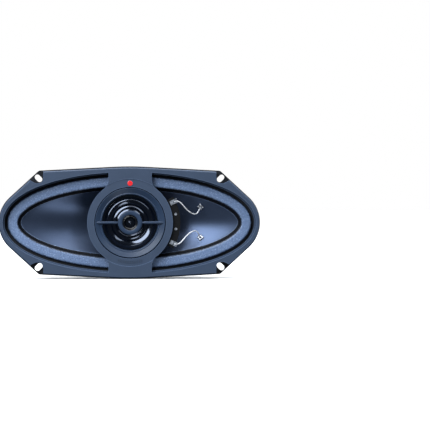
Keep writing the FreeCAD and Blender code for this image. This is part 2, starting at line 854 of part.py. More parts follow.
def make_tweeter_frame():
    """Moulded cup behind the diaphragm, which holds the tweeter's motor."""
    plane = diaphragm_plane
    back = plane + tweeter_cup_depth
    bore = tweeter_plate_radius
    cup = turned([
        (film_rim + 0.2, plane), (skirt_radius, plane), (skirt_radius, plane + tweeter_ear),
        (tweeter_cup_radius, plane + tweeter_ear), (tweeter_cup_radius - 1.0, back), (bore, back),
        (bore, back - cup_wall), (tweeter_cup_radius - cup_wall - 1.0, back - cup_wall),
        (tweeter_cup_radius - cup_wall, plane + film), (film_rim + 0.2, plane + film),
    ])
    for screw in tweeter_screw_shanks(tweeter_screw_radius):
        cup = cup.cut(screw)
    return cup


def tweeter_stack():
    """Depths of the tweeter's front plate, magnet and yoke."""
    plate0 = diaphragm_plane + tweeter_cup_depth - cup_wall - tweeter_plate
    return plate0, plate0 + tweeter_plate, plate0 + tweeter_plate + tweeter_magnet_thickness


def tweeter_gap():
    inner = tweeter_coil_radius - tweeter_coil_gap
    outer = tweeter_coil_radius + tweeter_coil_wall + tweeter_coil_gap
    return inner, outer


def make_tweeter_plate():
    """Ring plate; its rim is gripped by the cup's floor."""
    front, back, _ = tweeter_stack()
    rim = disc(tweeter_plate_radius + 3.0, front, back)
    return rim.cut(disc(tweeter_gap()[1], front - 1, back + 1))


def make_tweeter_magnet():
    _, front, back = tweeter_stack()
    ring = disc(tweeter_plate_radius - 0.2, front, back)
    return ring.cut(disc(tweeter_gap()[1] + 1.6, front - 1, back + 1))


def make_tweeter_yoke():
    front, _, back = tweeter_stack()
    plate = disc(tweeter_plate_radius - 1.2, back, back + tweeter_yoke)
    return joined([plate, disc(tweeter_gap()[0], front, back + 0.1)])


def make_tweeter_coil():
    """Former and winding of the tweeter, hung from the underside of the dome."""
    _, back, _ = tweeter_stack()
    outer = tweeter_coil_radius + tweeter_coil_wall
    lift = dome_height * (1 - (outer / dome_radius) ** 2)
    top, bottom = diaphragm_plane - lift + film, back + 1.0
    return disc(outer, top, bottom).cut(disc(tweeter_coil_radius, top - 1, bottom + 1))


# ---------------------------------------------------------------- tag strip, lugs, capacitor
def sector(inner, outer, half_angle, front, back):
    ring = disc(outer, front, back).cut(disc(inner, front - 1, back + 1))
    far = outer * 2
    (x0, z0), (x1, z1) = polar(far, half_angle), polar(far, -half_angle)
    wedge = Part.makePolygon([Vec(0, 0, 0), Vec(x0, 0, z0), Vec(x1, 0, z1), Vec(0, 0, 0)])
    return ring.common(prism(wedge, front - 1, back + 1))


def make_tag_strip():
    return sector(strip_inner, strip_outer, strip_half_angle, strip_front, strip_back)


def make_lug(sign):
    """Tinned lug, riveted to the strip, with two wings folded up to hold the lead."""
    front = strip_front - lug_metal
    start = lug_reach - lug_length / 2 + 1.4
    plate = box(start, start + lug_length, front, strip_front, -lug_width / 2, lug_width / 2)
    far, side = start + lug_length - 0.4, lug_width / 2
    wings = [box(far - lug_wing, far, front - lug_wing_height, front, side - lug_metal, side),
             box(far - lug_wing, far, front - lug_wing_height, front, -side, lug_metal - side)]
    rivet = disc(strip_rivet_head, front - 0.7, front, x=start + 1.9)
    pin = disc(0.8, front - 0.1, strip_back + 0.5, x=start + 1.9)
    lug = joined([plate, rivet, pin] + wings)
    return spun(lug, sign * lug_angle)


def make_strip_rivets():
    """Two smaller rivets of the strip, where the capacitor and the tweeter's wires are soldered."""
    rivets = []
    for sign in (1, -1):
        x, z = strip_rivet_place(sign)
        head = disc(strip_rivet_head, strip_front - 0.6, strip_front, x=x, z=z)
        pin = disc(0.7, strip_front - 0.1, strip_back + strip_rivet_tail, x=x, z=z)
        rivets.append(head.fuse(pin).removeSplitter())
    return Part.makeCompound(rivets)


def strip_with_holes(strip, pieces):
    for piece in pieces:
        strip = strip.cut(piece)
    return strip


def make_capacitor():
    """Crossover capacitor behind the strip, with its two wires bent to the strip."""
    half = capacitor_length / 2
    depth = strip_back + capacitor_radius
    foot = Vec(capacitor_x, depth, -half)
    can = Part.makeCylinder(capacitor_radius, capacitor_length, foot, Vec(0, 0, 1))
    can = can.makeFillet(capacitor_edge, [e for e in can.Edges if len(e.Vertexes) == 1])
    for z in (capacitor_groove - half, half - capacitor_groove):
        middle = Vec(capacitor_x, depth, z)
        can = can.cut(Part.makeTorus(capacitor_radius + 0.35, 0.6, middle, Vec(0, 0, 1)))
    top = half + capacitor_wire_reach
    for sign in (1, -1):
        bend = [(capacitor_x, depth, half - 0.5), (capacitor_x, depth, top), (capacitor_x, strip_back, top)]
        can = can.fuse(mirrored_route(bend, sign, capacitor_wire, "capacitor wire"))
    return can


# ---------------------------------------------------------------- eyelets and leads
def eyelet_axis():
    """Place of the upper eyelet on the cone's front face, and the way it points out of it."""
    step = 0.5
    depth = cone_front_at(eyelet_x, eyelet_z)
    fall_x = (cone_front_at(eyelet_x + step, eyelet_z) - depth) / step
    fall_z = (cone_front_at(eyelet_x, eyelet_z + step) - depth) / step
    return Vec(eyelet_x, depth, eyelet_z), Vec(fall_x, -1, fall_z).normalize()


def eyelet_rod(sign, radius, front, back):
    """Rod on an eyelet's axis, between two distances in front of the cone's face."""
    place, out = eyelet_axis()
    rod = Part.makeCylinder(radius, front - back, place + out * back, out)
    return rod if sign > 0 else rod.mirror(Vec(0, 0, 0), Vec(0, 0, 1))


def make_eyelet(sign):
    """Tinned stem through the cone, with a collar and the solder that holds both leads."""
    stem = eyelet_rod(sign, eyelet_stem, eyelet_front, -eyelet_back)
    return joined([stem, eyelet_rod(sign, eyelet_radius, 0.95, 0.4)])


def mirrored_route(points, sign, diameter, name):
    return route([(x, y, sign * z) for x, y, z in points], diameter, name)


def front_lead(sign):
    """From a lug on the strip to the front of an eyelet."""
    depth = strip_front - lug_metal - lead_diameter / 2
    crimp, end = [polar(r, lug_angle) for r in (lug_reach + 2.0, lug_reach + 6.6)]
    place, out = eyelet_axis()
    points = [(crimp[0], depth, crimp[1]), (end[0], depth, end[1]), (57.5, -6.0, 11.2), (65.6, -1.2, 7.2),
              tuple(place + out * (eyelet_front + 5.5)), tuple(place + out * eyelet_front)]
    return mirrored_route(points, sign, lead_diameter, "front lead")


def rear_lead(sign):
    """From the back of an eyelet to the solder tail of a terminal blade."""
    place, out = eyelet_axis()
    end = block_centre - (blade_wide if sign > 0 else blade_narrow) / 2
    depth = block_inner - blade_tail / 2
    points = [tuple(place - out * eyelet_back), tuple(place - out * (eyelet_back + 6.0)),
              (76.2, 20.6, 12.0), (end - 4.4, depth, blade_offset), (end, depth, blade_offset)]
    return mirrored_route(points, sign, lead_diameter, "rear lead")


def strip_rivet_place(sign):
    return polar(46.0, 10.5 if sign > 0 else -8.0)


def tweeter_wire(sign):
    """Insulated wire from the tweeter's cup to the strip."""
    x1, z1 = strip_rivet_place(sign)
    z1 = abs(z1)
    start = diaphragm_plane + tweeter_cup_depth
    pin_end = strip_back + strip_rivet_tail
    points = [(21.0, start, 6.0), (21.0, start + 3.0, 6.0), (30.0, start + 4.6, 11.6),
              (40.0, start + 2.4, 14.4), (x1, pin_end + 4.6, z1), (x1, pin_end, z1)]
    return mirrored_route(points, sign, wire_diameter, "tweeter wire")


# ---------------------------------------------------------------- terminal block
def make_terminal_block():
    core = block_cutter(0.0)
    skin_out = wall_body(0.0, 1.6).cut(wall_body(0.0, 0.0))
    high = block_half_height + block_flange
    long_half = block_length / 2 + block_flange
    near, far = block_centre - long_half, block_centre + long_half
    collar = skin_out.common(box(near, far, 5, basket_depth, -high, high))
    block = joined([core, collar])
    for blade in (make_blade(1), make_blade(-1)):
        block = block.cut(blade)
    return block


def make_blade(sign):
    """Push-on blade; the wide one is the positive."""
    wide = blade_wide if sign > 0 else blade_narrow
    z = sign * blade_offset
    blade = box(block_centre - wide / 2, block_centre + wide / 2, blade_start, blade_end,
                z - blade_metal / 2, z + blade_metal / 2)
    tip = [e for e in blade.Edges
           if min(v.Point.y for v in e.Vertexes) > blade_end - 0.1 and abs(e.tangentAt(0).z) > 0.9]
    blade = blade.makeChamfer(0.7, tip)
    return blade.cut(disc_across(0.7, block_centre, blade_end - 3.6, z))


def disc_across(radius, x, y, z):
    return Part.makeCylinder(radius, 6, Vec(x, y, z - 3), Vec(0, 0, 1))


# ---------------------------------------------------------------- build
def build():
    upper_lug, lower_lug, strip_rivets = make_lug(1), make_lug(-1), make_strip_rivets()
    return {
        "basket": make_basket(),
        "front_trim": make_trim(),
        "trim_ribs": make_ribs(),
        "red_inlay": make_inlay(),
        "plate_rivets": make_plate_rivets(),
        "front_plate": make_front_plate(),
        "magnet": make_magnet(),
        "yoke": make_yoke(),
        "spider": make_spider(),
        "surround": make_surround(),
        "cone": make_cone(),
        "dust_cap": make_dust_cap(),
        "coil_former": make_former(),
        "voice_coil": make_winding(),
        "tweeter_faceplate": make_faceplate(),
        "tweeter_diaphragm": make_tweeter_diaphragm(),
        "tweeter_surround": make_tweeter_surround(),
        "tweeter_coil": make_tweeter_coil(),
        "tweeter_frame": make_tweeter_frame(),
        "tweeter_plate": make_tweeter_plate(),
        "tweeter_magnet": make_tweeter_magnet(),
        "tweeter_yoke": make_tweeter_yoke(),
        "tweeter_screws": make_tweeter_screws(),
        "tag_strip": strip_with_holes(make_tag_strip(), [upper_lug, lower_lug, strip_rivets]),
        "upper_lug": upper_lug,
        "lower_lug": lower_lug,
        "strip_rivets": strip_rivets,
        "capacitor": make_capacitor(),
        "upper_eyelet": make_eyelet(1),
        "lower_eyelet": make_eyelet(-1),
        "upper_front_lead": front_lead(1),
        "lower_front_lead": front_lead(-1),
        "upper_rear_lead": rear_lead(1),
        "lower_rear_lead": rear_lead(-1),
        "tweeter_wire_positive": tweeter_wire(1),
        "tweeter_wire_negative": tweeter_wire(-1),
        "terminal_block": make_terminal_block(),
        "positive_blade": make_blade(1),
        "negative_blade": make_blade(-1),
    }


def main():
    os.makedirs("parts", exist_ok=True)
    for name, shape in build().items():
        shape.exportStep(f"parts/{name}.step")
        solids = len(shape.Solids)
        print(f"{name}: {solids} solid(s), {shape.Volume / 1000:.2f} cm3, valid {shape.isValid()}")


main()
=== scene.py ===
# %% [markdown]
# # A coaxial car speaker, dressed for the camera
# The engineering model of this 4 by 10 inch speaker is already settled: its basket, trim, motor and
# bridge have their true sizes and places. This lesson loads it as a fixed frame and gives it its looks.
# Parts whose form is right keep their solid and get a finish. Thin, soft or turned parts, such as the
# foam surround, the cone, the spider and the braided leads, are worked out again as smooth surfaces.

# %% Load the frame
import math

import bmesh
import bpy
import numpy as np
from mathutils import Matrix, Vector


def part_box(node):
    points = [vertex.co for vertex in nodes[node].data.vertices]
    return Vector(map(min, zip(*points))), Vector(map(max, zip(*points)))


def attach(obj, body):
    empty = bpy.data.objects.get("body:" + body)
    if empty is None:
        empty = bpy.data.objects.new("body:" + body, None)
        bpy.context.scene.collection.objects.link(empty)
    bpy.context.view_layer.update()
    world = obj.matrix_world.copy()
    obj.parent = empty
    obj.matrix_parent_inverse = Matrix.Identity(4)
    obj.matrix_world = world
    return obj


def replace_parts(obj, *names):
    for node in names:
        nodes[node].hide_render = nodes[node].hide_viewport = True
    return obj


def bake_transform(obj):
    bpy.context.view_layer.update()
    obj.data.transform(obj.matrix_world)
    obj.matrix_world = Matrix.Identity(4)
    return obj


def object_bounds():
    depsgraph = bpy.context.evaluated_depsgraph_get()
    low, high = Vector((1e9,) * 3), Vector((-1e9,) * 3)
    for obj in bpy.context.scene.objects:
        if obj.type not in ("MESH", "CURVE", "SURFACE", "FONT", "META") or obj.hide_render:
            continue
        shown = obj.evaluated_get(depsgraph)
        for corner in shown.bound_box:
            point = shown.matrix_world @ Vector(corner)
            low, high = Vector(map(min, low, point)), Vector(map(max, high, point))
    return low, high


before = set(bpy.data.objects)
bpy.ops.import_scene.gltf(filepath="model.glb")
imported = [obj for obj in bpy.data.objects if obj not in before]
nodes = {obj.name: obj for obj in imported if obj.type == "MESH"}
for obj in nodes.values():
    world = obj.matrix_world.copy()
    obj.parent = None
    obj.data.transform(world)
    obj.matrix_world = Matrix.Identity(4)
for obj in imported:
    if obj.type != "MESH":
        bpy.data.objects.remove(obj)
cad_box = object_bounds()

print("box, mm:", [[round(v * 1000, 1) for v in corner] for corner in cad_box])

# %% [markdown]
# ## Sizes
# Everything is in metres, in the frame of the model: X is the long way, Z points up, the front faces -Y,
# and the cone's axis is the Y axis. Places are read from the boxes of the solids, and only what a box
# can't tell, such as the radius of a roll or a sheet's thickness, is named here.

# %% Sizes
mm = 0.001
surround_high, cone_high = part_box("surround")[1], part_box("cone")[1]
roll_radius, roll_rise = 5.4 * mm, 4.5 * mm
foam = 0.9 * mm
glue_land, cone_lap = 3.2 * mm, 1.6 * mm
roll_a = surround_high.x - roll_radius - glue_land
roll_b = surround_high.z - roll_radius - glue_land
seat = surround_high.y
cone_wall = 0.9 * mm
neck_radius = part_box("coil_former")[1].x
cone_drop = cone_high.y - cone_wall - seat
cone_flare = 1.15
spider_seat = 34.8 * mm  # back of the cloth's rim, on the basket
diaphragm_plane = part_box("tweeter_frame")[0].y
face_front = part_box("tweeter_faceplate")[0].y
print(f"roll centreline {roll_a / mm:.1f} x {roll_b / mm:.1f} mm, neck {neck_radius / mm:.2f} mm,"
      f" cone {cone_drop / mm:.1f} mm deep")

# %% [markdown]
# ## One way to make a surface
# A turned part, a lofted part and a tube are all the same thing to a mesh: a grid of points with rows
# and columns. It could be built face by face, or with primitives and modifiers. A grid that is worked
# out as one array is exact, has no seams, and leaves only one rule to keep: the faces must point out,
# which the sign of the enclosed volume tells.

# %% Surfaces from a grid of points


def grid_faces(rows, columns, close_rows):
    """Quads that join each point of the grid to the next along its row, which is a loop, and column."""
    index = np.arange(rows * columns).reshape(rows, columns)
    if close_rows:
        index = np.vstack([index, index[:1]])
    index = np.hstack([index, index[:, :1]])
    corners = [index[:-1, :-1], index[1:, :-1], index[1:, 1:], index[:-1, 1:]]
    return np.stack(corners, axis=-1).reshape(-1, 4)


def enclosed(points, quads):
    """Signed volume: the sum over faces of a corner dotted with the cross product of the diagonals."""
    a, b, c, d = (points[quads[:, k]] for k in range(4))
    return np.einsum("ij,ij->", a, np.cross(c - a, d - b)) / 6


def merge_poles(mesh):
    """Merges the points that meet on an axis, so that a turned piece has one point at each pole."""
    work = bmesh.new()
    work.from_mesh(mesh)
    bmesh.ops.remove_doubles(work, verts=work.verts, dist=1e-7)
    work.to_mesh(mesh)
    work.free()


def surface(name, grids, finish, poles=False):
    """One piece from one or more grids of points, each a closed skin of shape (rows, columns, 3).

    With poles, the first and last rows each lie on one point; otherwise the last row joins the first.
    """
    points, quads, count = [], [], 0
    for grid in grids:
        flat = grid.reshape(-1, 3)
        faces = grid_faces(*grid.shape[:2], not poles)
        if enclosed(flat, faces) < 0:
            faces = faces[:, ::-1]
        points.append(flat)
        quads.append(faces + count)
        count += len(flat)
    points, quads = np.vstack(points), np.vstack(quads)
    mesh = bpy.data.meshes.new(name)
    mesh.vertices.add(len(points))
    mesh.vertices.foreach_set("co", points.astype(np.float32).ravel())
    mesh.loops.add(quads.size)
    mesh.loops.foreach_set("vertex_index", quads.astype(np.int32).ravel())
    mesh.polygons.add(len(quads))
    mesh.polygons.foreach_set("loop_start", np.arange(0, quads.size, 4, dtype=np.int32))
    mesh.update(calc_edges=True)
    mesh.shade_smooth()
    mesh.materials.append(finish)
    piece = bpy.data.objects.new(name, mesh)
    bpy.context.scene.collection.objects.link(piece)
    print(f"{name}: {len(points)} points, {enclosed(points, quads) / mm ** 3:.0f} cubic mm")
    if poles:
        merge_poles(mesh)
    return piece


# %% [markdown]
# ## Outlines with soft corners
# A moulded or turned part never has a knife edge. Its outline is given by its few corners, and each
# corner becomes a short arc. A bevel modifier could do this too, but arcs in the outline keep the flat
# faces flat, because two holding points sit just beside each arc.

# %% Outlines


def soft_outline(corners, radii, steps=5, closed=True):
    """Corners in (radius, depth), each replaced by an arc that touches both of its sides.

    The arc's centre lies on the bisector, at the radius over the sine of half the angle. A radius of
    zero keeps the corner.
    """
    corners = np.array(corners, float)
    radii = np.broadcast_to(np.array(radii, float), len(corners))
    out = []
    for i, (corner, radius) in enumerate(zip(corners, radii)):
        if radius == 0 or (not closed and i in (0, len(corners) - 1)):
            out.append(corner[None])
            continue
        back, on = corners[i - 1] - corner, corners[(i + 1) % len(corners)] - corner
        runs = np.linalg.norm(back), np.linalg.norm(on)
        back, on = back / runs[0], on / runs[1]
        half = math.acos(np.clip(back @ on, -1, 1)) / 2
        reach = min(radius / math.tan(half), 0.48 * min(runs))
        radius = reach * math.tan(half)
        centre = corner + (back + on) / np.linalg.norm(back + on) * radius / math.sin(half)
        start, end = corner + back * reach - centre, corner + on * reach - centre
        first = math.atan2(start[1], start[0])
        sweep = (math.atan2(end[1], end[0]) - first + math.pi) % (2 * math.pi) - math.pi
        turn = first + sweep * np.linspace(0, 1, steps + 1)
        arc = centre + radius * np.stack([np.cos(turn), np.sin(turn)], axis=1)
        hold = min(0.4 * radius, 0.02 * min(runs))
        out.append(np.vstack([arc[:1] + back * hold, arc, arc[-1:] + on * hold]))
    return np.vstack(out)


turned_columns = 160


def turned(outline, columns=turned_columns):
    """The outline carried round the Y axis: x = r cos(turn), y = depth, z = r sin(turn)."""
    turn = np.linspace(0, 2 * math.pi, columns, endpoint=False)
    radius, depth = outline[:, :1], outline[:, 1:]
    return np.stack([radius * np.cos(turn), depth + 0 * turn, radius * np.sin(turn)], axis=-1)


def sides_of(path, up=(0, 0, 1)):
    """Two unit vectors across the path at each of its points, square to each other."""
    run = np.gradient(path, axis=0)
    run /= np.linalg.norm(run, axis=1, keepdims=True)
    side = np.cross(run, up)
    side /= np.linalg.norm(side, axis=1, keepdims=True)
    return side, np.cross(side, run)


def along(path, radius, sides, up=(0, 0, 1)):
    """A round tube: each point of the path plus the radius times a turning pair of side vectors.

    The radius may differ from point to point. Both ends close to a point on the path.
    """
    side, over = sides_of(path, up)
    ends = np.r_[0, np.arange(len(path)), len(path) - 1]
    size = np.broadcast_to(radius, len(path))[ends].copy()
    size[[0, -1]] = 0
    turn = np.linspace(0, 2 * math.pi, sides, endpoint=False)
    ring = side[ends, None] * np.cos(turn)[:, None] + over[ends, None] * np.sin(turn)[:, None]
    return path[ends, None] + size[:, None, None] * ring


# %% [markdown]
# ## Shader arithmetic
# A finish is a little program made of nodes. Wiring them by hand hides the sum behind the cables, so a
# small class stands for one output socket, and writing `1 - mask` or `grain * 0.2` adds the Math node.
# Every other node comes from one method, which sets the node's own settings first and then its sockets.

# %% Finishes


class Signal:
    """One output of a node. Sums, differences and products of signals add Math nodes."""

    def __init__(self, finish, socket):
        self.finish, self.socket = finish, socket

    def maths(self, operation, *values, clamp=False):
        return self.finish.node("Math", {"operation": operation, "use_clamp": clamp}, values)

    def __add__(self, other):
        return self.maths("ADD", self, other)

    def __sub__(self, other):
        return self.maths("SUBTRACT", self, other)

    def __rsub__(self, other):
        return self.maths("SUBTRACT", other, self)

    def __mul__(self, other):
        return self.maths("MULTIPLY", self, other)

    def limited(self):
        return self.maths("MULTIPLY", self, 1.0, clamp=True)

    def above(self, low, high):
        """0 below low, 1 above high, smooth between."""
        settings = {"interpolation_type": "SMOOTHSTEP"}
        return self.finish.node("MapRange", settings, (self, low, high, 0.0, 1.0))

    __radd__, __rmul__ = __add__, __mul__


class Finish:
    """A material with one Principled shader, whose constants are set straight on its sockets."""

    def __init__(self, name, **constants):
        self.material = bpy.data.materials.new(name)
        self.material.use_nodes = True
        self.tree = self.material.node_tree
        self.shader = self.tree.nodes["Principled BSDF"]
        for socket, value in constants.items():
            self.shader.inputs[socket.replace("_", " ")].default_value = value

    def node(self, kind, settings, values, output=None):
        """Adds ShaderNode<kind>; values go to its enabled sockets, in order or by name."""
        node = self.tree.nodes.new("ShaderNode" + kind)
        for key, value in settings.items():
            setattr(node, key, value)
        open_sockets = [s for s in node.inputs if s.enabled]
        if not isinstance(values, dict):
            values = dict(enumerate(values))
        for key, value in values.items():
            socket = open_sockets[key] if isinstance(key, int) else node.inputs[key]
            if isinstance(value, Signal):
                self.tree.links.new(value.socket, socket)
            elif value is not None:
                socket.default_value = value
        outs = [s for s in node.outputs if s.enabled]
        return Signal(self, outs[0] if output is None else node.outputs[output])

    def place(self):
        """Object coordinates in millimetres."""
        metres = self.node("TexCoord", {}, (), "Object")
        return self.node("VectorMath", {"operation": "SCALE"}, {0: metres, "Scale": 1 / mm})

    def noise(self, place, size, detail=2.0, stretch=(1, 1, 1)):
        """Smooth noise, from 0 to 1, with lumps of about that size in millimetres."""
        if stretch != (1, 1, 1):
            place = self.node("VectorMath", {"operation": "MULTIPLY"}, (place, stretch))
        return self.node("TexNoise", {}, {"Vector": place, "Scale": 1 / size, "Detail": detail})

    def cells(self, place, size):
        """Distance to the nearest of scattered points, for specks and foam cells."""
        return self.node("TexVoronoi", {}, {"Vector": place, "Scale": 1 / size}, "Distance")

    def mixed(self, mask, first, second):
        """Colour that goes from the first to the second as the mask goes from 0 to 1."""
        settings = {"data_type": "RGBA", "clamp_factor": True}
        colours = [c if isinstance(c, Signal) else (*c, 1.0) for c in (first, second)]
        return self.node("Mix", settings, (mask, *colours))

    def bump(self, height, depth):
        """Normal of a relief whose height of 1 stands for `depth` millimetres."""
        return self.node("Bump", {}, {"Height": height, "Strength": 1.0, "Distance": depth * mm})

    def edges(self, width):
        """1 on edges sharper than the bevel of that width in millimetres, 0 on flat faces."""
        soft = self.node("Bevel", {"samples": 6}, {"Radius": width * mm})
        flat = self.node("NewGeometry", {}, (), "Normal")
        return 1 - self.node("VectorMath", {"operation": "DOT_PRODUCT"}, (soft, flat), "Value")

    def feed(self, **signals):
        """Links signals or colours to sockets of the shader."""
        for socket, signal in signals.items():
            self.tree.links.new(signal.socket, self.shader.inputs[socket.replace("_", " ")])
        return self.material


def clouded(name, first, second, size, rough, swing, relief, detail=2.0, stretch=(1, 1, 1), **constants):
    """A plain finish: one noise mixes two tones, adds its swing to the roughness and is the relief."""
    finish = Finish(name, **constants)
    cloud = finish.noise(finish.place(), size, detail, stretch)
    tint = finish.mixed(cloud, first, second)
    return finish.feed(Base_Color=tint, Roughness=cloud * swing + rough, Normal=finish.bump(cloud, relief))


def srgb(red, green, blue):
    """Linear colour of an sRGB one in 0 to 255."""
    share = np.array([red, green, blue]) / 255
    return tuple(np.where(share < 0.04045, share / 12.92, ((share + 0.055) / 1.055) ** 2.4))


def dress(names, material):
    """Gives CAD nodes a finish in place of their plain one."""
    for name in names.split():
        for holder in nodes[name].material_slots:
            holder.material = material


# %% [markdown]
# ## Moulded plastic
# The trim and bridge are dark blue-grey ABS from a spark-eroded mould: a fine even grain that turns
# the shine into a broad glow. An image of the grain would need a layout of the faces. Noise in object
# coordinates needs none and keeps its size in millimetres. The edges are painted lighter: a painted
# highlight.

# %% Plastic finishes


def moulded(name, colour, roughness, grain=0.035, edge_highlight=0.35, gloss=0.5):
    finish = Finish(name, Specular_IOR_Level=gloss)
    place = finish.place()
    fine = finish.noise(place, 0.32, detail=3.0)
    broad = finish.noise(place, 16.0)
    tint = finish.mixed(broad, [c * 0.88 for c in colour], [c * 1.14 for c in colour])
    tint = finish.mixed(fine.above(0.5, 0.85) * 0.35, tint, [c * 1.7 + 0.008 for c in colour])
    # Painted highlight: edges sharper than the bevel are painted lighter, as if they caught the light.
    edge_highlight_mask = (finish.edges(0.9) * 6.0).limited() * edge_highlight
    tint = finish.mixed(edge_highlight_mask, tint, [c * 2.6 + 0.02 for c in colour])
    rough = fine * 0.16 + (roughness - 0.08) + broad * 0.06
    return finish.feed(Base_Color=tint, Roughness=rough, Normal=finish.bump(fine, grain))


trim_plastic = moulded("trim_plastic", srgb(45, 60, 82), 0.5, edge_highlight=0.9)
face_plastic = moulded("face_plastic", srgb(39, 54, 76), 0.36, grain=0.015, gloss=0.28)
rib_plastic = moulded("rib_plastic", srgb(36, 47, 64), 0.4, grain=0.02)
black_plastic = moulded("black_plastic", srgb(30, 33, 38), 0.5, edge_highlight=0.2)
dress("front_trim", trim_plastic)
dress("trim_ribs", rib_plastic)
dress("tweeter_frame terminal_block", black_plastic)
print("plastic finishes:", [m.name for m in (trim_plastic, face_plastic, rib_plastic, black_plastic)])

# %% [markdown]
# ## Painted and bare metal
# The basket is pressed steel dipped in black paint: smooth, slightly wavy like orange peel, and thin on
# the edges. The motor's plates are zinc plated, with the faint rings that turning leaves, and the
# magnet is sintered ferrite, which is dull, dark and a little speckled.

# %% Metal finishes


def painted_steel():
    finish = Finish("painted_steel", Specular_IOR_Level=0.6)
    place = finish.place()
    peel, dust = finish.noise(place, 1.5), finish.noise(place, 9.0, detail=5.0)
    base = srgb(17, 19, 24)
    tint = finish.mixed(dust.above(0.45, 0.8) * 0.5, base, srgb(36, 40, 47))
    worn = (finish.edges(0.3) * 1.5).limited() * finish.noise(place, 3.0).above(0.5, 0.7) * 0.3
    tint = finish.mixed(worn, tint, srgb(96, 100, 108))
    rough = dust * 0.18 + 0.24
    return finish.feed(Base_Color=tint, Roughness=rough, Normal=finish.bump(peel, 0.03))


def plated(name, light, dark, roughness, rings=0.0, blotches=5.0, metal=1.0):
    """Plated or tinned metal: blotches of two tones, with rings round the Y axis if it is turned."""
    finish = Finish(name, Metallic=metal)
    place = finish.place()
    blotch = finish.noise(place, blotches, detail=4.0)
    tint = finish.mixed(blotch.above(0.35, 0.7), light, dark)
    fine = finish.noise(place, 0.5)
    height = fine
    if rings:
        flat = finish.node("VectorMath", {"operation": "MULTIPLY"}, (place, (1, 0, 1)))
        radius = finish.node("VectorMath", {"operation": "LENGTH"}, (flat,), "Value")
        height = fine * 0.4 + radius.maths("SINE", radius * (2 * math.pi / rings)) * 0.3
    return finish.feed(Base_Color=tint, Roughness=blotch * 0.22 + (roughness - 0.1),
                       Normal=finish.bump(height, 0.012))


def sintered():
    finish = Finish("ferrite", Specular_IOR_Level=0.35)
    place = finish.place()
    specks = 1 - finish.cells(place, 1.1).above(0.12, 0.3)
    clouds = finish.noise(place, 7.0, detail=4.0)
    tint = finish.mixed(clouds, srgb(44, 44, 46), srgb(66, 66, 67))
    tint = finish.mixed(specks * 0.4, tint, srgb(110, 108, 104))
    rough = 0.82 - specks * 0.25
    return finish.feed(Base_Color=tint, Roughness=rough, Normal=finish.bump(clouds, 0.08))


basket_paint = painted_steel()
zinc = plated("zinc_plate", srgb(200, 200, 196), srgb(164, 164, 158), 0.36, rings=0.55, metal=0.7)
tin = plated("tinned_brass", srgb(222, 225, 232), srgb(150, 155, 166), 0.3, blotches=1.6)
aged_tin = plated("aged_tin", srgb(206, 212, 222), srgb(92, 98, 110), 0.3, blotches=1.2, metal=0.6)
nickel = plated("nickel", srgb(205, 203, 198), srgb(180, 178, 172), 0.22)
dark_screw = plated("dark_screw", srgb(60, 62, 66), srgb(44, 46, 50), 0.38)
ferrite = sintered()
dress("basket", basket_paint)
dress("front_plate plate_rivets tweeter_plate tweeter_yoke", zinc)
dress("positive_blade negative_blade", tin)
dress("upper_lug lower_lug strip_rivets", aged_tin)
dress("tweeter_magnet", nickel)
dress("tweeter_screws", dark_screw)
print("metal finishes ready")

# %% [markdown]
# ## Small parts that keep their solid
# The red button is glossy lacquer. The tag strip is black laminated paper, with fibres that run along
# it. Both coils are enamelled copper on a brown film, and their turns are fine grooves round the axis.

# %% Small finishes
lacquer = clouded("red_lacquer", srgb(214, 30, 38), srgb(232, 48, 52), size=1.2, rough=0.22, swing=0.1,
                  relief=0.01, Coat_Weight=0.7, Coat_Roughness=0.08)
laminated = clouded("laminated_paper", srgb(5, 6, 8), srgb(15, 16, 19), size=0.5, rough=0.4, swing=0.25,
                    relief=0.02, detail=5.0, stretch=(1, 1, 0.12), Specular_IOR_Level=0.2)
copper = clouded("wound_copper", srgb(176, 92, 50), srgb(214, 132, 82), size=0.3, rough=0.22, swing=0.2,
                 relief=0.03, detail=3.0, stretch=(0.1, 1, 0.1), Metallic=0.9)
dress("red_inlay", lacquer)
dress("tag_strip", laminated)
dress("tweeter_coil", copper)
print("small finishes ready")

# %% [markdown]
# ## The cone's surface
# The oval cone runs from the edge of the surround down to the round neck. Each ring of it is a blend
# of the oval edge and the neck's circle. The depth grows with the share of the way to the power 1.15,
# so the wall is slightly flared. The same formula gives both faces, the glue and the eyelets' places.

# %% Cone surface
oval_turn = np.linspace(0, 2 * math.pi, 400, endpoint=False)


def off_the_roll(reach, turn):
    """Point at a distance `reach` outside the roll's centreline: the ellipse's point plus `reach`
    times its unit normal, which is (b cos, a sin) over its own length."""
    across, up = roll_b * np.cos(turn), roll_a * np.sin(turn)
    size = np.hypot(across, up)
    return roll_a * np.cos(turn) + reach * across / size, roll_b * np.sin(turn) + reach * up / size


cone_reach = -(roll_radius + cone_lap)


def on_the_cone(share, turn, lift=0.0):
    """Point of the cone at that share of the way from its edge (0) to its neck (1)."""
    x, z = off_the_roll(cone_reach, turn)
    depth = seat + cone_drop * share ** cone_flare - lift
    return np.stack(np.broadcast_arrays(x + (neck_radius * np.cos(turn) - x) * share, depth,
                                        z + (neck_radius * np.sin(turn) - z) * share), axis=-1)


def cone_depth(x, z):
    """Depth of the cone's front at (x, z), by halving the share until its ring passes through there."""
    edge_a, edge_b = off_the_roll(cone_reach, 0.0)[0], off_the_roll(cone_reach, math.pi / 2)[1]
    low, high = np.zeros_like(x), np.ones_like(x)
    for _ in range(30):
        share = (low + high) / 2
        a, b = (edge + (neck_radius - edge) * share for edge in (edge_a, edge_b))
        outside = (x / a) ** 2 + (z / b) ** 2 > 1
        low, high = np.where(outside, low, share), np.where(outside, share, high)
    return seat + cone_drop * low ** cone_flare


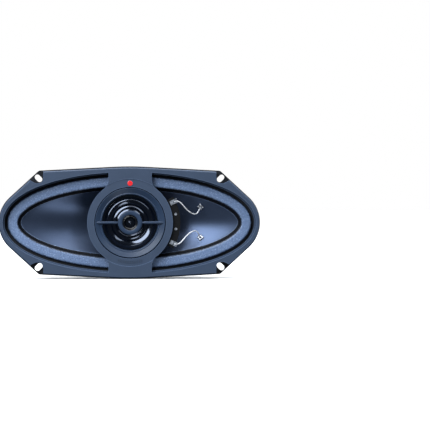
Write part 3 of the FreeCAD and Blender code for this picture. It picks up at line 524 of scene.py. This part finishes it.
def mica_loaded():
    """Dark polypropylene with mica flakes, which give a deep blue-grey metal sheen."""
    finish = Finish("cone_polypropylene", Metallic=0.75)
    place = finish.place()
    flake = finish.noise(place, 0.35, detail=4.0)
    flow = finish.noise(place, 14.0, detail=3.0, stretch=(0.35, 1, 1))
    tint = finish.mixed(flow, srgb(58, 70, 92), srgb(74, 88, 114))
    tint = finish.mixed(flake.above(0.58, 0.8) * 0.35, tint, srgb(120, 134, 164))
    rough = flake * 0.12 + flow * 0.06 + 0.28
    return finish.feed(Base_Color=tint, Roughness=rough, Normal=finish.bump(flake, 0.008))


cone_finish = mica_loaded()
edge_hold = 0.004
shares = np.r_[0, edge_hold, np.linspace(0.02, 0.98, 44), 1 - edge_hold, 1]
front = on_the_cone(shares[:, None], oval_turn[None])
back = on_the_cone(shares[::-1, None], oval_turn[None], lift=-cone_wall)
cone = surface("cone_shell", [np.concatenate([front, back])], cone_finish)
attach(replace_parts(cone, "cone"), "cone_assembly")

# %% [markdown]
# ## Foam surround
# The surround is a half roll of foam, pressed flat at both edges: the outer land is glued to the
# basket, and the inner lap is glued over the cone's edge. It could be a bevelled curve along an
# ellipse, but its width must stay even round the sharp ends, so its section is carried along true
# offsets of the ellipse. It joins two bodies; each point gets a share of how far it would follow the
# cone, but only the counts are printed.

# %% Surround


def roll_section():
    """Closed section in (reach, depth): round top, soft feet, flat land; scaled from a unit roll."""
    lap, land = 1.02, 1 + glue_land / roll_radius
    wall = foam / roll_rise
    feet = [(-lap, 0), (-1, 0), (-1, 1), (1, 1), (1, 0), (land, 0), (land, -wall), (1 - wall, -wall),
            (1 - wall, 1 - wall), (wall - 1, 1 - wall), (wall - 1, -wall), (-lap, -wall)]
    radii = [0, 0.12, 1, 1, 0.12, 0.05, 0, 0.1, 1 - wall, 1 - wall, 0.1, 0]
    outline = soft_outline(feet, radii, steps=14)
    return outline[:, 0] * roll_radius, seat - foam - outline[:, 1] * roll_rise


def lap_rows(steps, lift):
    """Rows of the lap on the cone, from its inner edge out to the cone's edge.

    The share that the lap covers is its width over the generator's length along the edge's normal.
    """
    width = 1.4 * mm
    x, z = off_the_roll(cone_reach, oval_turn)
    inward_x, inward_z = neck_radius * np.cos(oval_turn) - x, neck_radius * np.sin(oval_turn) - z
    across, up = roll_b * np.cos(oval_turn), roll_a * np.sin(oval_turn)
    run = -(inward_x * across + inward_z * up) / np.hypot(across, up)
    share = (width / run)[None] * np.linspace(1, 0, steps)[:, None]
    return on_the_cone(share, oval_turn[None], lift=lift)


def foam_finish():
    """Open-cell foam with small pits and pale specks. The crest of the roll is painted pale, a painted
    highlight; the feet are painted deep blue-black, a painted shade. The attribute "crest" tells where."""
    finish = Finish("surround_foam", Specular_IOR_Level=0.6)
    place = finish.place()
    crest = finish.node("Attribute", {"attribute_name": "crest"}, (), "Fac")
    cell, clump = finish.cells(place, 0.6), finish.noise(place, 1.3, detail=5.0)
    speck = 1 - finish.cells(place, 1.5).above(0.12, 0.38)
    # Painted highlight and shade: pale where the roll stands high, as if lit, and dark on its flanks and
    # feet.
    drawn = (crest + (clump - 0.5) * 0.45).above(0.76, 1.04)
    tint = finish.mixed(drawn, srgb(14, 19, 28), srgb(98, 120, 156))
    # The pale specks show only where the crest highlight is painted, and are part of that painted highlight.
    tint = finish.mixed(speck * drawn * 0.6, tint, srgb(170, 190, 224))
    # Painted shade: the pits of the foam cells are painted darker.
    tint = finish.mixed((1 - cell.above(0.0, 0.4)) * 0.2, tint, srgb(18, 23, 32))
    rough = clump * 0.2 + 0.4
    return finish.feed(Base_Color=tint, Roughness=rough,
                       Normal=finish.bump(cell * 0.5 + clump * 0.5, 0.06))


# Foam that is pressed flat and soaked with glue is dark and a little glossy; this nearly black tone is
# also painted shade, at the foot of the roll and on the lap.
pressed_foam = clouded("pressed_foam", srgb(5, 7, 12), srgb(12, 16, 25), size=0.8, rough=0.35, swing=0.2,
                       relief=0.05, detail=3.0, Specular_IOR_Level=0.12)

reach, depth = roll_section()
x, z = off_the_roll(reach[:, None], oval_turn[None])
roll = np.stack([x, depth[:, None] + 0 * x, z], axis=-1)
lap_front, lap_back = lap_rows(7, 0.45 * mm), lap_rows(7, -0.15 * mm)[::-1]
surround = surface("foam_surround", [np.concatenate([lap_front, roll, lap_back])], foam_finish())
surround.data.materials.append(pressed_foam)

# The cut edge of the lap is painted as pale as the crest, a painted highlight. From there to the roll's
# foot the faces take the pressed foam, whose near-black is partly painted shade.
cut_edge, roll_foot = 1, len(lap_front) + 2
light_rows = np.arange(len(lap_front)) <= cut_edge
crest = np.r_[light_rows, (seat - foam - depth) / roll_rise, np.zeros(len(lap_back))]
crest = np.repeat(np.clip(crest, 0, 1), len(oval_turn)).astype(np.float32)
surround.data.attributes.new("crest", "FLOAT", "POINT").data.foreach_set("value", crest)
row = np.arange(len(surround.data.polygons)) // len(oval_turn)
pressed = (row > cut_edge) & (row < roll_foot)
surround.data.polygons.foreach_set("material_index", pressed.astype(np.int32))
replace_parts(surround, "surround")

# %% [markdown]
# ## Shares between two bodies
# The surround, the spider and the tweeter film use the same helper, each with its own measure. It bakes
# the piece in place and prints how many points would stay and travel; it stores no weights.

# %% Shares by distance


def give_way(piece, share):
    """Smooths the share, 0 for the chassis and 1 for the moving body, bakes the piece and prints the counts.
    """
    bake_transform(piece)
    share = np.clip(share, 0, 1)
    weight = (share * share * (3 - 2 * share)).astype(np.float32)
    print(f"{piece.name}: {int((weight == 0).sum())} points stay, {int((weight == 1).sum())} travel")


roll_share = (roll_radius - reach) / (2 * roll_radius)
rows = np.r_[np.ones(len(lap_front)), roll_share, np.ones(len(lap_back))]
give_way(surround, np.repeat(rows, len(oval_turn)))

# %% [markdown]
# ## Spider
# The spider is a round cloth, stiffened with resin and pressed into rings, that centres the coil. Its
# section is a sine wave that fades at both edges. The weave is two sets of threads, worked out from
# the sine of X and of Z in the finish, because the cloth is cut flat before it is pressed.

# %% Spider


def spider_outline():
    """Section in (radius, depth): sleeve on the neck, wave, flat rim; the back is the front one
    cloth's thickness behind."""
    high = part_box("spider")[1]
    cloth, waves, crest = 0.5 * mm, 5, 1.3 * mm
    collar, grip, rim = neck_radius + 1.3 * mm, 32.5 * mm, high.x
    middle = spider_seat - cloth
    share = np.linspace(0, 1, 120)
    fade = np.minimum(1, np.minimum(6 * share, 6 * (1 - share)))
    wave = middle - crest * np.sin(2 * math.pi * waves * share) * fade
    radius = collar + (grip - collar) * share
    sleeve = [(neck_radius, middle - 1 * mm), (collar, middle - 1 * mm)]
    tail = [(collar, middle + 1.6 * mm), (neck_radius, middle + 1.6 * mm)]
    front = np.stack([radius, wave], axis=1)
    back = (front + [0, cloth])[::-1]
    edge = [(rim, middle), (rim, middle + cloth)]
    return np.vstack([sleeve, front, edge, back, tail]), collar, grip


def cloth_finish():
    finish = Finish("spider_cloth", Specular_IOR_Level=0.35, Sheen_Weight=0.3)
    place = finish.place()
    axes = finish.node("SeparateXYZ", {}, (place,))
    upright = Signal(finish, axes.socket.node.outputs["Z"])
    thread = 2 * math.pi / 0.7
    warp = axes.maths("SINE", axes * thread)
    weft = upright.maths("SINE", upright * thread)
    weave = warp * weft * 0.5 + 0.5
    resin = finish.noise(place, 6.0, detail=4.0)
    tint = finish.mixed(resin, srgb(186, 132, 66), srgb(212, 160, 88))
    tint = finish.mixed(weave * 0.5, tint, srgb(120, 78, 36))
    return finish.feed(Base_Color=tint, Roughness=resin * 0.2 + 0.5, Normal=finish.bump(weave, 0.12))


outline, collar, grip = spider_outline()
spider = surface("spider_cloth", [turned(outline)], cloth_finish())
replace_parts(spider, "spider")
spider_share = (grip - outline[:, 0]) / (grip - collar)
give_way(spider, np.repeat(spider_share, turned_columns))

# %% [markdown]
# ## Turned parts
# The dust cap, the film dome, the magnet, the yoke and the coil are all turned shapes. Each is its
# outline carried round the axis, with small radii on the corners so that the edges catch the light.

# %% Motor
magnet_low, magnet_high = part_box("magnet")
yoke_low, yoke_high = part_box("yoke")
magnet_bore, pole_radius, vent = 19 * mm, 12.1 * mm, 4 * mm
ring = [(magnet_bore, magnet_low.y), (magnet_high.x, magnet_low.y), (magnet_high.x, magnet_high.y),
        (magnet_bore, magnet_high.y)]
magnet = surface("magnet_ring", [turned(soft_outline(ring, 0.8 * mm), 200)], ferrite)
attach(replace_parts(magnet, "magnet"), "chassis")

yoke_rim, pole_lip = 1.5 * mm, 1.2 * mm
yoke_corners = [(vent, yoke_low.y), (pole_radius, yoke_low.y), (pole_radius, magnet_high.y),
                (yoke_high.x, magnet_high.y), (yoke_high.x, yoke_high.y - yoke_rim),
                (yoke_high.x - yoke_rim, yoke_high.y), (vent + pole_lip, yoke_high.y),
                (vent, yoke_high.y - pole_lip)]
yoke = surface("yoke_and_pole", [turned(soft_outline(yoke_corners, 0.35 * mm), 200)], zinc)
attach(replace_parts(yoke, "yoke"), "chassis")

# %% [markdown]
# ## Coil and dust cap
# The coil is one layer of round wire on a thin brown film. Its outline is a row of half circles, one
# for each turn. The cap is a shallow dome of the cone's own plastic, with a short skirt.

# %% Coil, former and cap


def coil_outline(inner, outer, start, end, pitch):
    """Turns of wire as half circles: radius + half a wire times the size of a sine along the depth."""
    depth = np.linspace(start, end, int((end - start) / pitch) * 6 + 1)
    wire = pitch / 2
    bulge = outer - wire + wire * np.abs(np.sin((depth - start) / pitch * math.pi)) ** 0.7
    return np.vstack([[(inner, start)], np.stack([bulge, depth], axis=1), [(inner, end)]])


brown_film = clouded("former_film", srgb(120, 66, 22), srgb(158, 92, 34), size=4.0, rough=0.2, swing=0.15,
                     relief=0.01, detail=3.0)
coil_low, coil_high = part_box("voice_coil")
former_low, former_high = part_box("coil_former")
former_wall = 0.25 * mm
windings = coil_outline(neck_radius, coil_high.x, coil_low.y, coil_high.y, 0.3 * mm)
coil = surface("coil_winding", [turned(windings, 120)], copper)
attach(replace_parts(coil, "voice_coil"), "cone_assembly")
sleeve = [(neck_radius - former_wall, former_low.y), (neck_radius, former_low.y),
          (neck_radius, former_high.y), (neck_radius - former_wall, former_high.y)]
former = surface("coil_sleeve", [turned(soft_outline(sleeve, 0.08 * mm, steps=3))], brown_film)
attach(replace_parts(former, "coil_former"), "cone_assembly")


def cap_outline():
    """Arc of a sphere from the axis to the skirt, and back inside it; the ball's radius is
    (rim squared + height squared) over twice the height."""
    low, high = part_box("dust_cap")
    wall, height = 0.5 * mm, 5.0 * mm
    ball = (high.x ** 2 + height ** 2) / (2 * height)
    lean = np.linspace(0, math.asin(high.x / ball), 30)
    centre = low.y + ball
    outer = np.stack([ball * np.sin(lean), centre - ball * np.cos(lean)], axis=1)
    inner = np.stack([(ball - wall) * np.sin(lean), centre - (ball - wall) * np.cos(lean)], axis=1)
    skirt = [(high.x, high.y), (high.x - wall, high.y)]
    return np.vstack([outer, skirt, inner[::-1]])


cap = surface("dust_cap_dome", [turned(cap_outline())], cone_finish, poles=True)
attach(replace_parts(cap, "dust_cap"), "cone_assembly")

# %% [markdown]
# ## Tweeter film
# The tweeter's diaphragm is one formed film: a dome with a nub in its middle, a small bead, a flat
# valley and a roll whose crest lies outside its middle. The film is so smooth that the lamps show in it
# as clean arcs, so the outline needs many points and the finish, nearly black under a thin clear coat,
# needs little detail. It spans two bodies: the dome rides the coil, and the rim stays clamped.

# %% Tweeter film
film_roll_in, film_roll_out, film_rim = 17.4 * mm, 25.4 * mm, 28.6 * mm


def film_outline():
    """Height over the plane by radius: parabolas for the dome and the nub; the bead and the roll are
    one minus the distance from their crest to a power between one and two, which keeps their flanks
    straighter than a circle's."""
    dome, bead_crest, bead, roll_crest, nub = (v * mm for v in (13.2, 14.9, 16.6, 22.4, 1.4))
    dome_rise, bead_rise, film_roll_rise, nub_rise, sheet = (v * mm for v in (3.2, 0.7, 2.2, 0.5, 0.3))
    radius = np.linspace(0, film_rim, 260)

    def hump(start, crest, end, rise, power):
        far = np.where(radius < crest, (crest - radius) / (crest - start), (radius - crest) / (end - crest))
        return rise * (1 - np.clip(far, 0, 1) ** power)

    height = dome_rise * np.clip(1 - (radius / dome) ** 2, 0, None)
    height += hump(dome, bead_crest, bead, bead_rise, 1.5)
    height += nub_rise * np.clip(1 - (radius / nub) ** 2, 0, None)
    height += hump(film_roll_in, roll_crest, film_roll_out, film_roll_rise, 1.3)
    top = np.stack([radius, diaphragm_plane - height], axis=1)
    return np.vstack([top, (top + [0, sheet])[::-1]])


metal_film = clouded("tweeter_film", srgb(4, 6, 11), srgb(8, 12, 21), size=5.0, rough=0.1, swing=0.04,
                     relief=0.004, detail=1.0, Specular_IOR_Level=1.0, Coat_Roughness=0.05,
                     Coat_Weight=0.5, Specular_Tint=(*srgb(205, 222, 255), 1.0))
film = surface("tweeter_film", [turned(film_outline(), 240)], metal_film, poles=True)
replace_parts(film, "tweeter_diaphragm", "tweeter_surround")
points = np.zeros(len(film.data.vertices) * 3)
film.data.vertices.foreach_get("co", points)
from_axis = np.hypot(points[0::3], points[2::3])
give_way(film, (film_roll_out - from_axis) / (film_roll_out - film_roll_in))

# %% [markdown]
# ## Tweeter face
# The face is one moulding: a funnel that slopes in to a rounded lip, and a hub held by two bars. It is
# split here into those three shapes, with a black throat inside the hub. A near-black matte ring fills
# the gap round the face as painted shade of the groove. The bars have a half-round section that thins
# towards both ends, so that they seem to grow out of the funnel and the hub. Each outline is in
# millimetres, from the face's own front.

# %% Tweeter face
hub_front = face_front + 0.2 * mm


def moulding(name, corners, radii, front, finish, columns=200):
    """Turned piece from corners (radius, depth behind its front) and corner radii, in millimetres."""
    corners = np.array(corners) * mm + [0, front]
    return surface(name, [turned(soft_outline(corners, np.array(radii) * mm), columns)], finish)


glossy_black = moulded("glossy_black", srgb(9, 11, 15), 0.2, grain=0.002, edge_highlight=0.0, gloss=0.8)
shade_felt = moulded("groove_shade_black", srgb(4, 5, 7), 0.9, grain=0.08, edge_highlight=0.0, gloss=0.05)
face = moulding("tweeter_funnel", [(34.6, 0.1), (34.2, 0), (29.4, 2.4), (28.7, 2.05), (28.0, 2.5),
                                   (27.4, 7.4), (31.7, 7.4), (31.7, 2.1), (34.6, 2.1)],
                [0.25, 0.5, 0.3, 0.28, 0.4, 0.15, 0.15, 0.1, 0.15], face_front, face_plastic, 240)
button = moulding("tweeter_hub", [(12.0, 2.1), (12.0, 0.35), (10.4, 0), (8.4, 0.15), (7.7, 0.8), (7.7, 2.1)],
                  [0.3, 0.9, 2.0, 0.5, 0.3, 0.2], hub_front, face_plastic)
insert = moulding("hub_throat", [(7.65, 2.0), (7.65, 1.1), (6.9, 1.6), (6.2, 0.8), (5.7, 1.2), (5.2, 2.0)],
                  [0.15, 0.2, 0.3, 0.45, 0.3, 0.15], hub_front, glossy_black)
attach(insert, "chassis")
# Painted shade: a near-black, matte ring put in the groove round the face, so that the groove reads dark.
groove_shade_ring = moulding("face_groove_shade", [(34.68, 2.0), (34.68, 0.75), (35.42, 0.75), (35.42, 2.0)], [0.15] * 4,
                face_front, shade_felt)
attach(groove_shade_ring, "chassis")


def bar(side, start=11.6 * mm, end=34.4 * mm):
    """Half-round bar: half width times cosine and rise times sine, thinned at the ends by the root
    of one minus the eighth power of the distance from the middle."""
    rise, sink, root, half_width = (v * mm for v in (1.3, 0.7, 1.5, 1.35))
    share = np.linspace(-0.995, 0.995, 48)[:, None]
    thin = (1 - share ** 8) ** 0.5
    turn = np.linspace(0, 2 * math.pi, 28, endpoint=False)[None]
    lift = np.where(np.sin(turn) > 0, rise, sink)
    x = side * ((start + end) / 2 + (end - start) / 2 * share + 0 * turn)
    y = face_front + root - lift * np.sin(turn) * thin
    return np.stack([x, y, half_width * np.cos(turn) * thin], axis=-1)


def with_ends(grid):
    """The same grid with its first and last rows drawn to their middles, which closes the ends."""
    middles = [np.repeat(row.mean(axis=0)[None, None], grid.shape[1], axis=1) for row in (grid[0], grid[-1])]
    return np.concatenate([middles[0], grid, middles[1]])


bars = surface("tweeter_bars", [with_ends(bar(side)) for side in (-1, 1)], face_plastic, poles=True)
for piece in (face, button, bars):
    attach(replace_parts(piece, "tweeter_faceplate"), "chassis")

# %% [markdown]
# ## Eyelets and glue
# Where a lead passes through the cone there is a hollow rivet: its front end is split and rolled out
# into four petals, and a spot of black glue seals it. The petals are a turned outline whose radius
# swells four times in one turn, stood on the cone's own normal.

# %% Eyelets
eyelet_x, eyelet_z = 71 * mm, 15.5 * mm


def eyelet_frame(sign):
    """The eyelet's place, the cone's outward normal there, and two directions across it."""
    here = np.array([eyelet_x, eyelet_z]) + np.array([[0, 0], [0.5, 0], [0, 0.5]]) * mm
    depth = cone_depth(here[:, 0], here[:, 1])
    out = np.array([depth[1] - depth[0], -0.5 * mm, depth[2] - depth[0]])
    out /= np.linalg.norm(out)
    flip = np.array([1, 1, sign])
    place, out = np.array([eyelet_x, depth[0], eyelet_z]) * flip, out * flip
    side = np.cross(out, (0, 0, 1))
    side /= np.linalg.norm(side)
    return place, out, side, np.cross(side, out)


def petals(sign):
    """Turned outline, spread sideways; past the tube's radius it swells by a cosine of four waves."""
    spread, tube, reach, swelling = 1.2, 1.1, 1.35, 0.24
    outline = np.array([(0.75, -2.4), (0.75, 0.7), (0.95, 1.25), (1.5, 1.35), (2.1, 1.05), (2.45, 0.5),
                        (2.2, 0.42), (1.7, 0.7), (1.1, 0.6), (1.1, -2.9), (0.0, -3.1)])
    outline = np.vstack([[(0.0, -2.4)], outline * (spread, 1)]) * mm
    turn = np.linspace(0, 2 * math.pi, 48, endpoint=False)
    swell = np.clip((outline[:, 0] / mm - tube) / reach, 0, 1)[:, None]
    radius = outline[:, :1] * (1 + swelling * swell * np.cos(4 * turn))
    place, out, side, over = eyelet_frame(sign)
    ring = side * np.cos(turn)[:, None] + over * np.sin(turn)[:, None]
    return place + radius[..., None] * ring + outline[:, 1][:, None, None] * out


def glue_spot(sign, width=4.6 * mm, height=0.55 * mm):
    """Disc on the cone that swells by the square of (1 - distance squared), with a wandering rim."""
    top_rows, thin, root = 16, 0.06 * mm, 0.3 * mm
    turn = np.linspace(0, 2 * math.pi, 60, endpoint=False)
    far = np.r_[np.linspace(0, 1, top_rows), np.linspace(1, 0, 4)][:, None]
    rim = width * (1 + 0.08 * np.cos(3 * turn + 1) + 0.05 * np.cos(5 * turn))
    x = eyelet_x + far * rim * np.cos(turn)
    z = eyelet_z + far * rim * np.sin(turn)
    on_top = np.arange(len(far))[:, None] < top_rows
    lift = np.where(on_top, thin + height * (1 - far ** 2) ** 2, -root)
    return np.stack([x, cone_depth(x, z) - lift, z * sign], axis=-1)


glue = clouded("black_glue", srgb(20, 24, 31), srgb(34, 40, 50), size=1.6, rough=0.2, swing=0.2,
               relief=0.05, detail=3.0)
for name, sign in (("upper", 1), ("lower", -1)):
    rivet = surface(name + "_petals", [petals(sign)], tin, poles=True)
    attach(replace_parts(rivet, name + "_eyelet"), "cone_assembly")
    spot = surface(name + "_glue_spot", [glue_spot(sign)], glue, poles=True)
    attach(spot, "cone_assembly")

# %% [markdown]
# ## Braided leads
# Each lead is a woven tube of fine tinned wires, limp enough to follow the cone. Its line is a smooth
# spline through a few chosen points. Six strands wind one way round it and six the other, and each
# rises and dips as it crosses the others, which is what makes it a braid and not a rope.

# %% Lead routes


def smooth_line(points, count):
    """Points along a third-order spline with those control points, read back from the curve."""
    curve = bpy.data.curves.new("line", "CURVE")
    curve.dimensions = "3D"
    spline = curve.splines.new("NURBS")
    spline.points.add(len(points) - 1)
    spline.points.foreach_set("co", np.c_[np.array(points, float), np.ones(len(points))].ravel())
    spline.order_u = 3
    spline.use_endpoint_u = True
    spline.resolution_u = 24
    holder = bpy.data.objects.new("line", curve)
    mesh = bpy.data.meshes.new_from_object(holder)
    line = np.zeros(len(mesh.vertices) * 3)
    mesh.vertices.foreach_get("co", line)
    line = line.reshape(-1, 3)
    bpy.data.objects.remove(holder)
    bpy.data.curves.remove(curve)
    bpy.data.meshes.remove(mesh)
    step = np.r_[0, np.cumsum(np.linalg.norm(np.diff(line, axis=0), axis=1))]
    even = np.linspace(0, step[-1], count)
    return np.stack([np.interp(even, step, line[:, k]) for k in range(3)], axis=1), step[-1]


lug_angle, strip_radius = 25.5, 46.0
wire_angle = {1: 10.5, -1: 8.0}


def round_axis(radius, degrees):
    """Point (x, z) at that distance from the axis in millimetres and that angle over the X axis."""
    angle = math.radians(degrees)
    return radius * mm * math.cos(angle), radius * mm * math.sin(angle)


def front_route(sign):
    (x0, z0), (x1, z1) = round_axis(48.6, lug_angle), round_axis(53.2, lug_angle)
    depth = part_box("tag_strip")[0].y - 1.05 * mm
    place, out, _, _ = eyelet_frame(1)
    points = [(x0, depth, z0), (x1, depth, z1), (57.5 * mm, -6.0 * mm, 11.2 * mm),
              (65.6 * mm, -1.2 * mm, 7.2 * mm), place + out * 7.1 * mm, place + out * 1.0 * mm]
    return np.array([tuple(p) for p in points]) * (1, 1, sign)


def rear_route(sign):
    blade_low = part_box("positive_blade" if sign > 0 else "negative_blade")[0]
    end, depth = blade_low.x, blade_low.y + 0.9 * mm
    place, out, _, _ = eyelet_frame(1)
    points = [place - out * 2.9 * mm, place - out * 8.9 * mm, (76.2 * mm, 20.6 * mm, 12.0 * mm),
              (end - 4.4 * mm, depth, 5.0 * mm), (end, depth, 5.0 * mm)]
    return np.array([tuple(p) for p in points]) * (1, 1, sign)


# %% [markdown]
# ## The braid itself
# The strands are tubes round the line. One solid tube with a woven bump would be lighter, but its edge
# would stay smooth against the cone, and a braid's edge is lumpy.

# %% Leads
lead_radius, strand_radius = 0.55 * mm, 0.17 * mm


def braid(line, length, strands=6, lay=4.2 * mm, sides=6):
    """Two sets of strands: each runs at an angle that grows with the distance along the line, one set
    clockwise and one the other way, and its distance from the line rises and dips at each crossing."""
    side, over = sides_of(line)
    far = np.linspace(0, length, len(line))
    grids = []
    for way in (1, -1):
        for k in range(strands):
            angle = way * 2 * math.pi * far / lay + 2 * math.pi * k / strands
            dip = way * 0.5 * np.cos(strands * 2 * math.pi * far / lay + math.pi * k)
            radius = lead_radius * (0.68 + 0.1 * dip)
            centre = line + radius[:, None] * (side * np.cos(angle)[:, None] + over * np.sin(angle)[:, None])
            grids.append(along(centre, strand_radius, sides))
    return grids


silver = clouded("tinned_braid", srgb(214, 216, 222), srgb(246, 247, 250), size=0.12, rough=0.28,
                 swing=0.15, relief=0.02, Metallic=0.4)
for place_name, sign in (("upper", 1), ("lower", -1)):
    for side_name, route in (("front", front_route(sign)), ("rear", rear_route(sign))):
        line, length = smooth_line(route, 150 if side_name == "front" else 90)
        name = f"{place_name}_{side_name}_lead"
        lead = surface(f"{name}_braid", braid(line, length), silver, poles=True)
        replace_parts(lead, name)
        fixed, moving = (route[0], route[-1]) if side_name == "front" else (route[-1], route[0])
        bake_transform(lead)
        print(f"{name}: {length / mm:.1f} mm")

# %% [markdown]
# ## Tweeter wires and capacitor
# Two insulated wires run from the tweeter's cup to the strip, and the capacitor that keeps bass out of
# the tweeter lies behind the strip. Its sleeve is shrunk over the can, so it dips at both rolled
# grooves and curls over the ends.

# %% Wires and capacitor


def insulation(name, colour):
    darker, lighter = [c * 0.8 for c in colour], [c * 1.15 for c in colour]
    return clouded(name, darker, lighter, size=1.5, rough=0.35, swing=0.15, relief=0.02, detail=3.0)


cup_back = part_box("tweeter_frame")[1].y
pin_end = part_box("strip_rivets")[1].y
for name, sign, colour in (("positive", 1, srgb(178, 32, 30)), ("negative", -1, srgb(26, 27, 30))):
    x1, z1 = round_axis(strip_radius, wire_angle[sign])
    route = [(21 * mm, cup_back, 6 * mm), (21 * mm, cup_back + 3 * mm, 6 * mm),
             (30 * mm, cup_back + 4.6 * mm, 11.6 * mm), (40 * mm, cup_back + 2.4 * mm, 14.4 * mm),
             (x1, pin_end + 4.6 * mm, z1), (x1, pin_end, z1)]
    line, length = smooth_line(np.array(route) * (1, 1, sign), 90)
    wire_finish = insulation(f"{name}_insulation", colour)
    wire = surface(f"tweeter_wire_{name}_sleeve", [along(line, 0.5 * mm, 14)], wire_finish, poles=True)
    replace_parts(wire, f"tweeter_wire_{name}")
    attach(wire, "chassis")

can_radius, can_half = 4.6 * mm, 8.5 * mm
can_x, can_depth = 38.6 * mm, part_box("tag_strip")[1].y + can_radius
groove = [(0, can_half - 0.3 * mm), (2.6 * mm, can_half - 0.3 * mm), (3.1 * mm, can_half),
          (can_radius, can_half), (can_radius, can_half - 1.7 * mm),
          (can_radius - 0.45 * mm, can_half - 2.2 * mm), (can_radius, can_half - 2.7 * mm)]
can = np.array(groove + [(r, -h) for r, h in reversed(groove)])
can_radii = np.array([0, 0.2, 0.3, 0.6, 0.5, 0.5, 0.5] + [0.5, 0.5, 0.5, 0.6, 0.3, 0.2, 0]) * mm
grid = turned(soft_outline(can, can_radii, closed=False), 96)
can_grid = np.stack([grid[..., 0] + can_x, grid[..., 2] + can_depth, grid[..., 1]], axis=-1)
capacitor = surface("capacitor_can", [can_grid], insulation("capacitor_sleeve", srgb(24, 46, 62)),
                    poles=True)
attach(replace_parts(capacitor, "capacitor"), "chassis")
for name, sign in (("upper", 1), ("lower", -1)):
    bend = [(can_x, can_depth, can_half - 0.5 * mm), (can_x, can_depth, can_half + 3.5 * mm),
            (can_x, can_depth - can_radius, can_half + 3.5 * mm)]
    line, _ = smooth_line(np.array(bend) * (1, 1, sign), 40)
    pin = surface(f"{name}_capacitor_pin", [along(line, 0.4 * mm, 12, up=(1, 0, 0))], tin, poles=True)
    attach(pin, "chassis")

# %% [markdown]
# ## Floor, light and camera
# The speaker stands on its long edge on a pale floor. The floor only takes shadow: it is hidden from
# the rays that light, mirror or shade the speaker, so no pale glow climbs up the trim. The world is white
# to the camera and gives almost no light, because dark plastic needs lamps with edges.

# %% Floor and world
low, high = cad_box
floor_mesh = bpy.data.meshes.new("floor")
half = 6.0
corners = [(x, y, low.z) for x, y in ((-half, -half), (half, -half), (half, half), (-half, half))]
floor_mesh.from_pydata(corners, [], [(0, 1, 2, 3)])
floor = bpy.data.objects.new("floor", floor_mesh)
bpy.context.scene.collection.objects.link(floor)
paper = Finish("floor_paper", Roughness=0.9)
tone = paper.noise(paper.place(), 300.0)
floor_mesh.materials.append(paper.feed(Base_Color=paper.mixed(tone, (0.86, 0.86, 0.86), (0.9, 0.9, 0.9))))
floor.visible_diffuse = floor.visible_glossy = floor.visible_shadow = False

world = bpy.data.worlds.new("studio")
bpy.context.scene.world = world
world.use_nodes = True
tree = world.node_tree
tree.nodes.clear()
seen, lit = tree.nodes.new("ShaderNodeBackground"), tree.nodes.new("ShaderNodeBackground")
seen.inputs["Color"].default_value, seen.inputs["Strength"].default_value = (1, 1, 1, 1), 1.0
lit.inputs["Color"].default_value, lit.inputs["Strength"].default_value = (0.8, 0.9, 1, 1), 0.05
rays, mix, out = (tree.nodes.new("ShaderNode" + k) for k in ("LightPath", "MixShader", "OutputWorld"))
tree.links.new(rays.outputs["Is Camera Ray"], mix.inputs[0])
tree.links.new(lit.outputs[0], mix.inputs[1])
tree.links.new(seen.outputs[0], mix.inputs[2])
tree.links.new(mix.outputs[0], out.inputs["Surface"])
print("floor at", round(low.z / mm, 1), "mm")

# %% [markdown]
# ## Lamps and camera
# A big soft key above and to the left makes the bright patch in the lower right of the cone, and a weak
# one stands to the right. The front lamp fills the trim and leaves no reflection. A small card below
# floor level gives the film its low arc, two lamps behind keep the basket readable from the back, and a
# wide, soft overhead sun lights all edges that face up. A long lens, nearly straight in front, keeps the
# oval true.

# %% Lamps and camera


def soft_lamp(name, place, size, power, mirrored=True):
    """Rectangle of light that faces the speaker; one that isn't mirrored leaves no reflection."""
    lamp = bpy.data.lights.new(name, "AREA")
    lamp.shape, lamp.size, lamp.size_y = "RECTANGLE", *size
    lamp.energy, lamp.color = power, (0.9, 0.95, 1.0)
    holder = bpy.data.objects.new(name, lamp)
    holder.location = place
    holder.rotation_euler = (-Vector(place)).to_track_quat("-Z", "Y").to_euler()
    holder.visible_camera, holder.visible_glossy = False, mirrored
    bpy.context.scene.collection.objects.link(holder)


soft_lamp("key", (-0.75, -1.05, 0.95), (1.1, 1.3), 38)
soft_lamp("second", (0.8, -0.75, 1.05), (0.8, 0.8), 7)
soft_lamp("front", (-0.1, -2.3, 0.5), (2.2, 1.2), 9, mirrored=False)
soft_lamp("low_card", (0.26, -0.55, -0.75), (0.35, 0.35), 1.6)
soft_lamp("back_left", (-1.0, 1.3, 0.9), (0.8, 0.8), 22)
soft_lamp("back_right", (1.2, 1.1, 0.7), (0.6, 0.8), 14)

overhead = bpy.data.lights.new("overhead", "SUN")
overhead.energy, overhead.angle = 3.8, math.radians(70)
holder = bpy.data.objects.new("overhead", overhead)
bpy.context.scene.collection.objects.link(holder)

view_width, distance = 0.43, 1.65
aim_x, aim_z = 0.085, 0.0074
azimuth, elevation = math.radians(-4.0), math.radians(0.8)
camera = bpy.data.cameras.new("camera")
camera.lens, camera.sensor_width = 36 * distance / view_width, 36
holder = bpy.data.objects.new("camera", camera)
toward = np.array([math.sin(azimuth) * math.cos(elevation), -math.cos(azimuth) * math.cos(elevation),
                   math.sin(elevation)])
holder.location = np.array([aim_x, 0, aim_z]) + toward * distance
holder.rotation_euler = Vector(-toward).to_track_quat("-Z", "Y").to_euler()
bpy.context.scene.collection.objects.link(holder)
bpy.context.scene.camera = holder
bpy.context.scene.view_settings.view_transform = "Standard"
print("camera at", [round(v, 3) for v in holder.location])
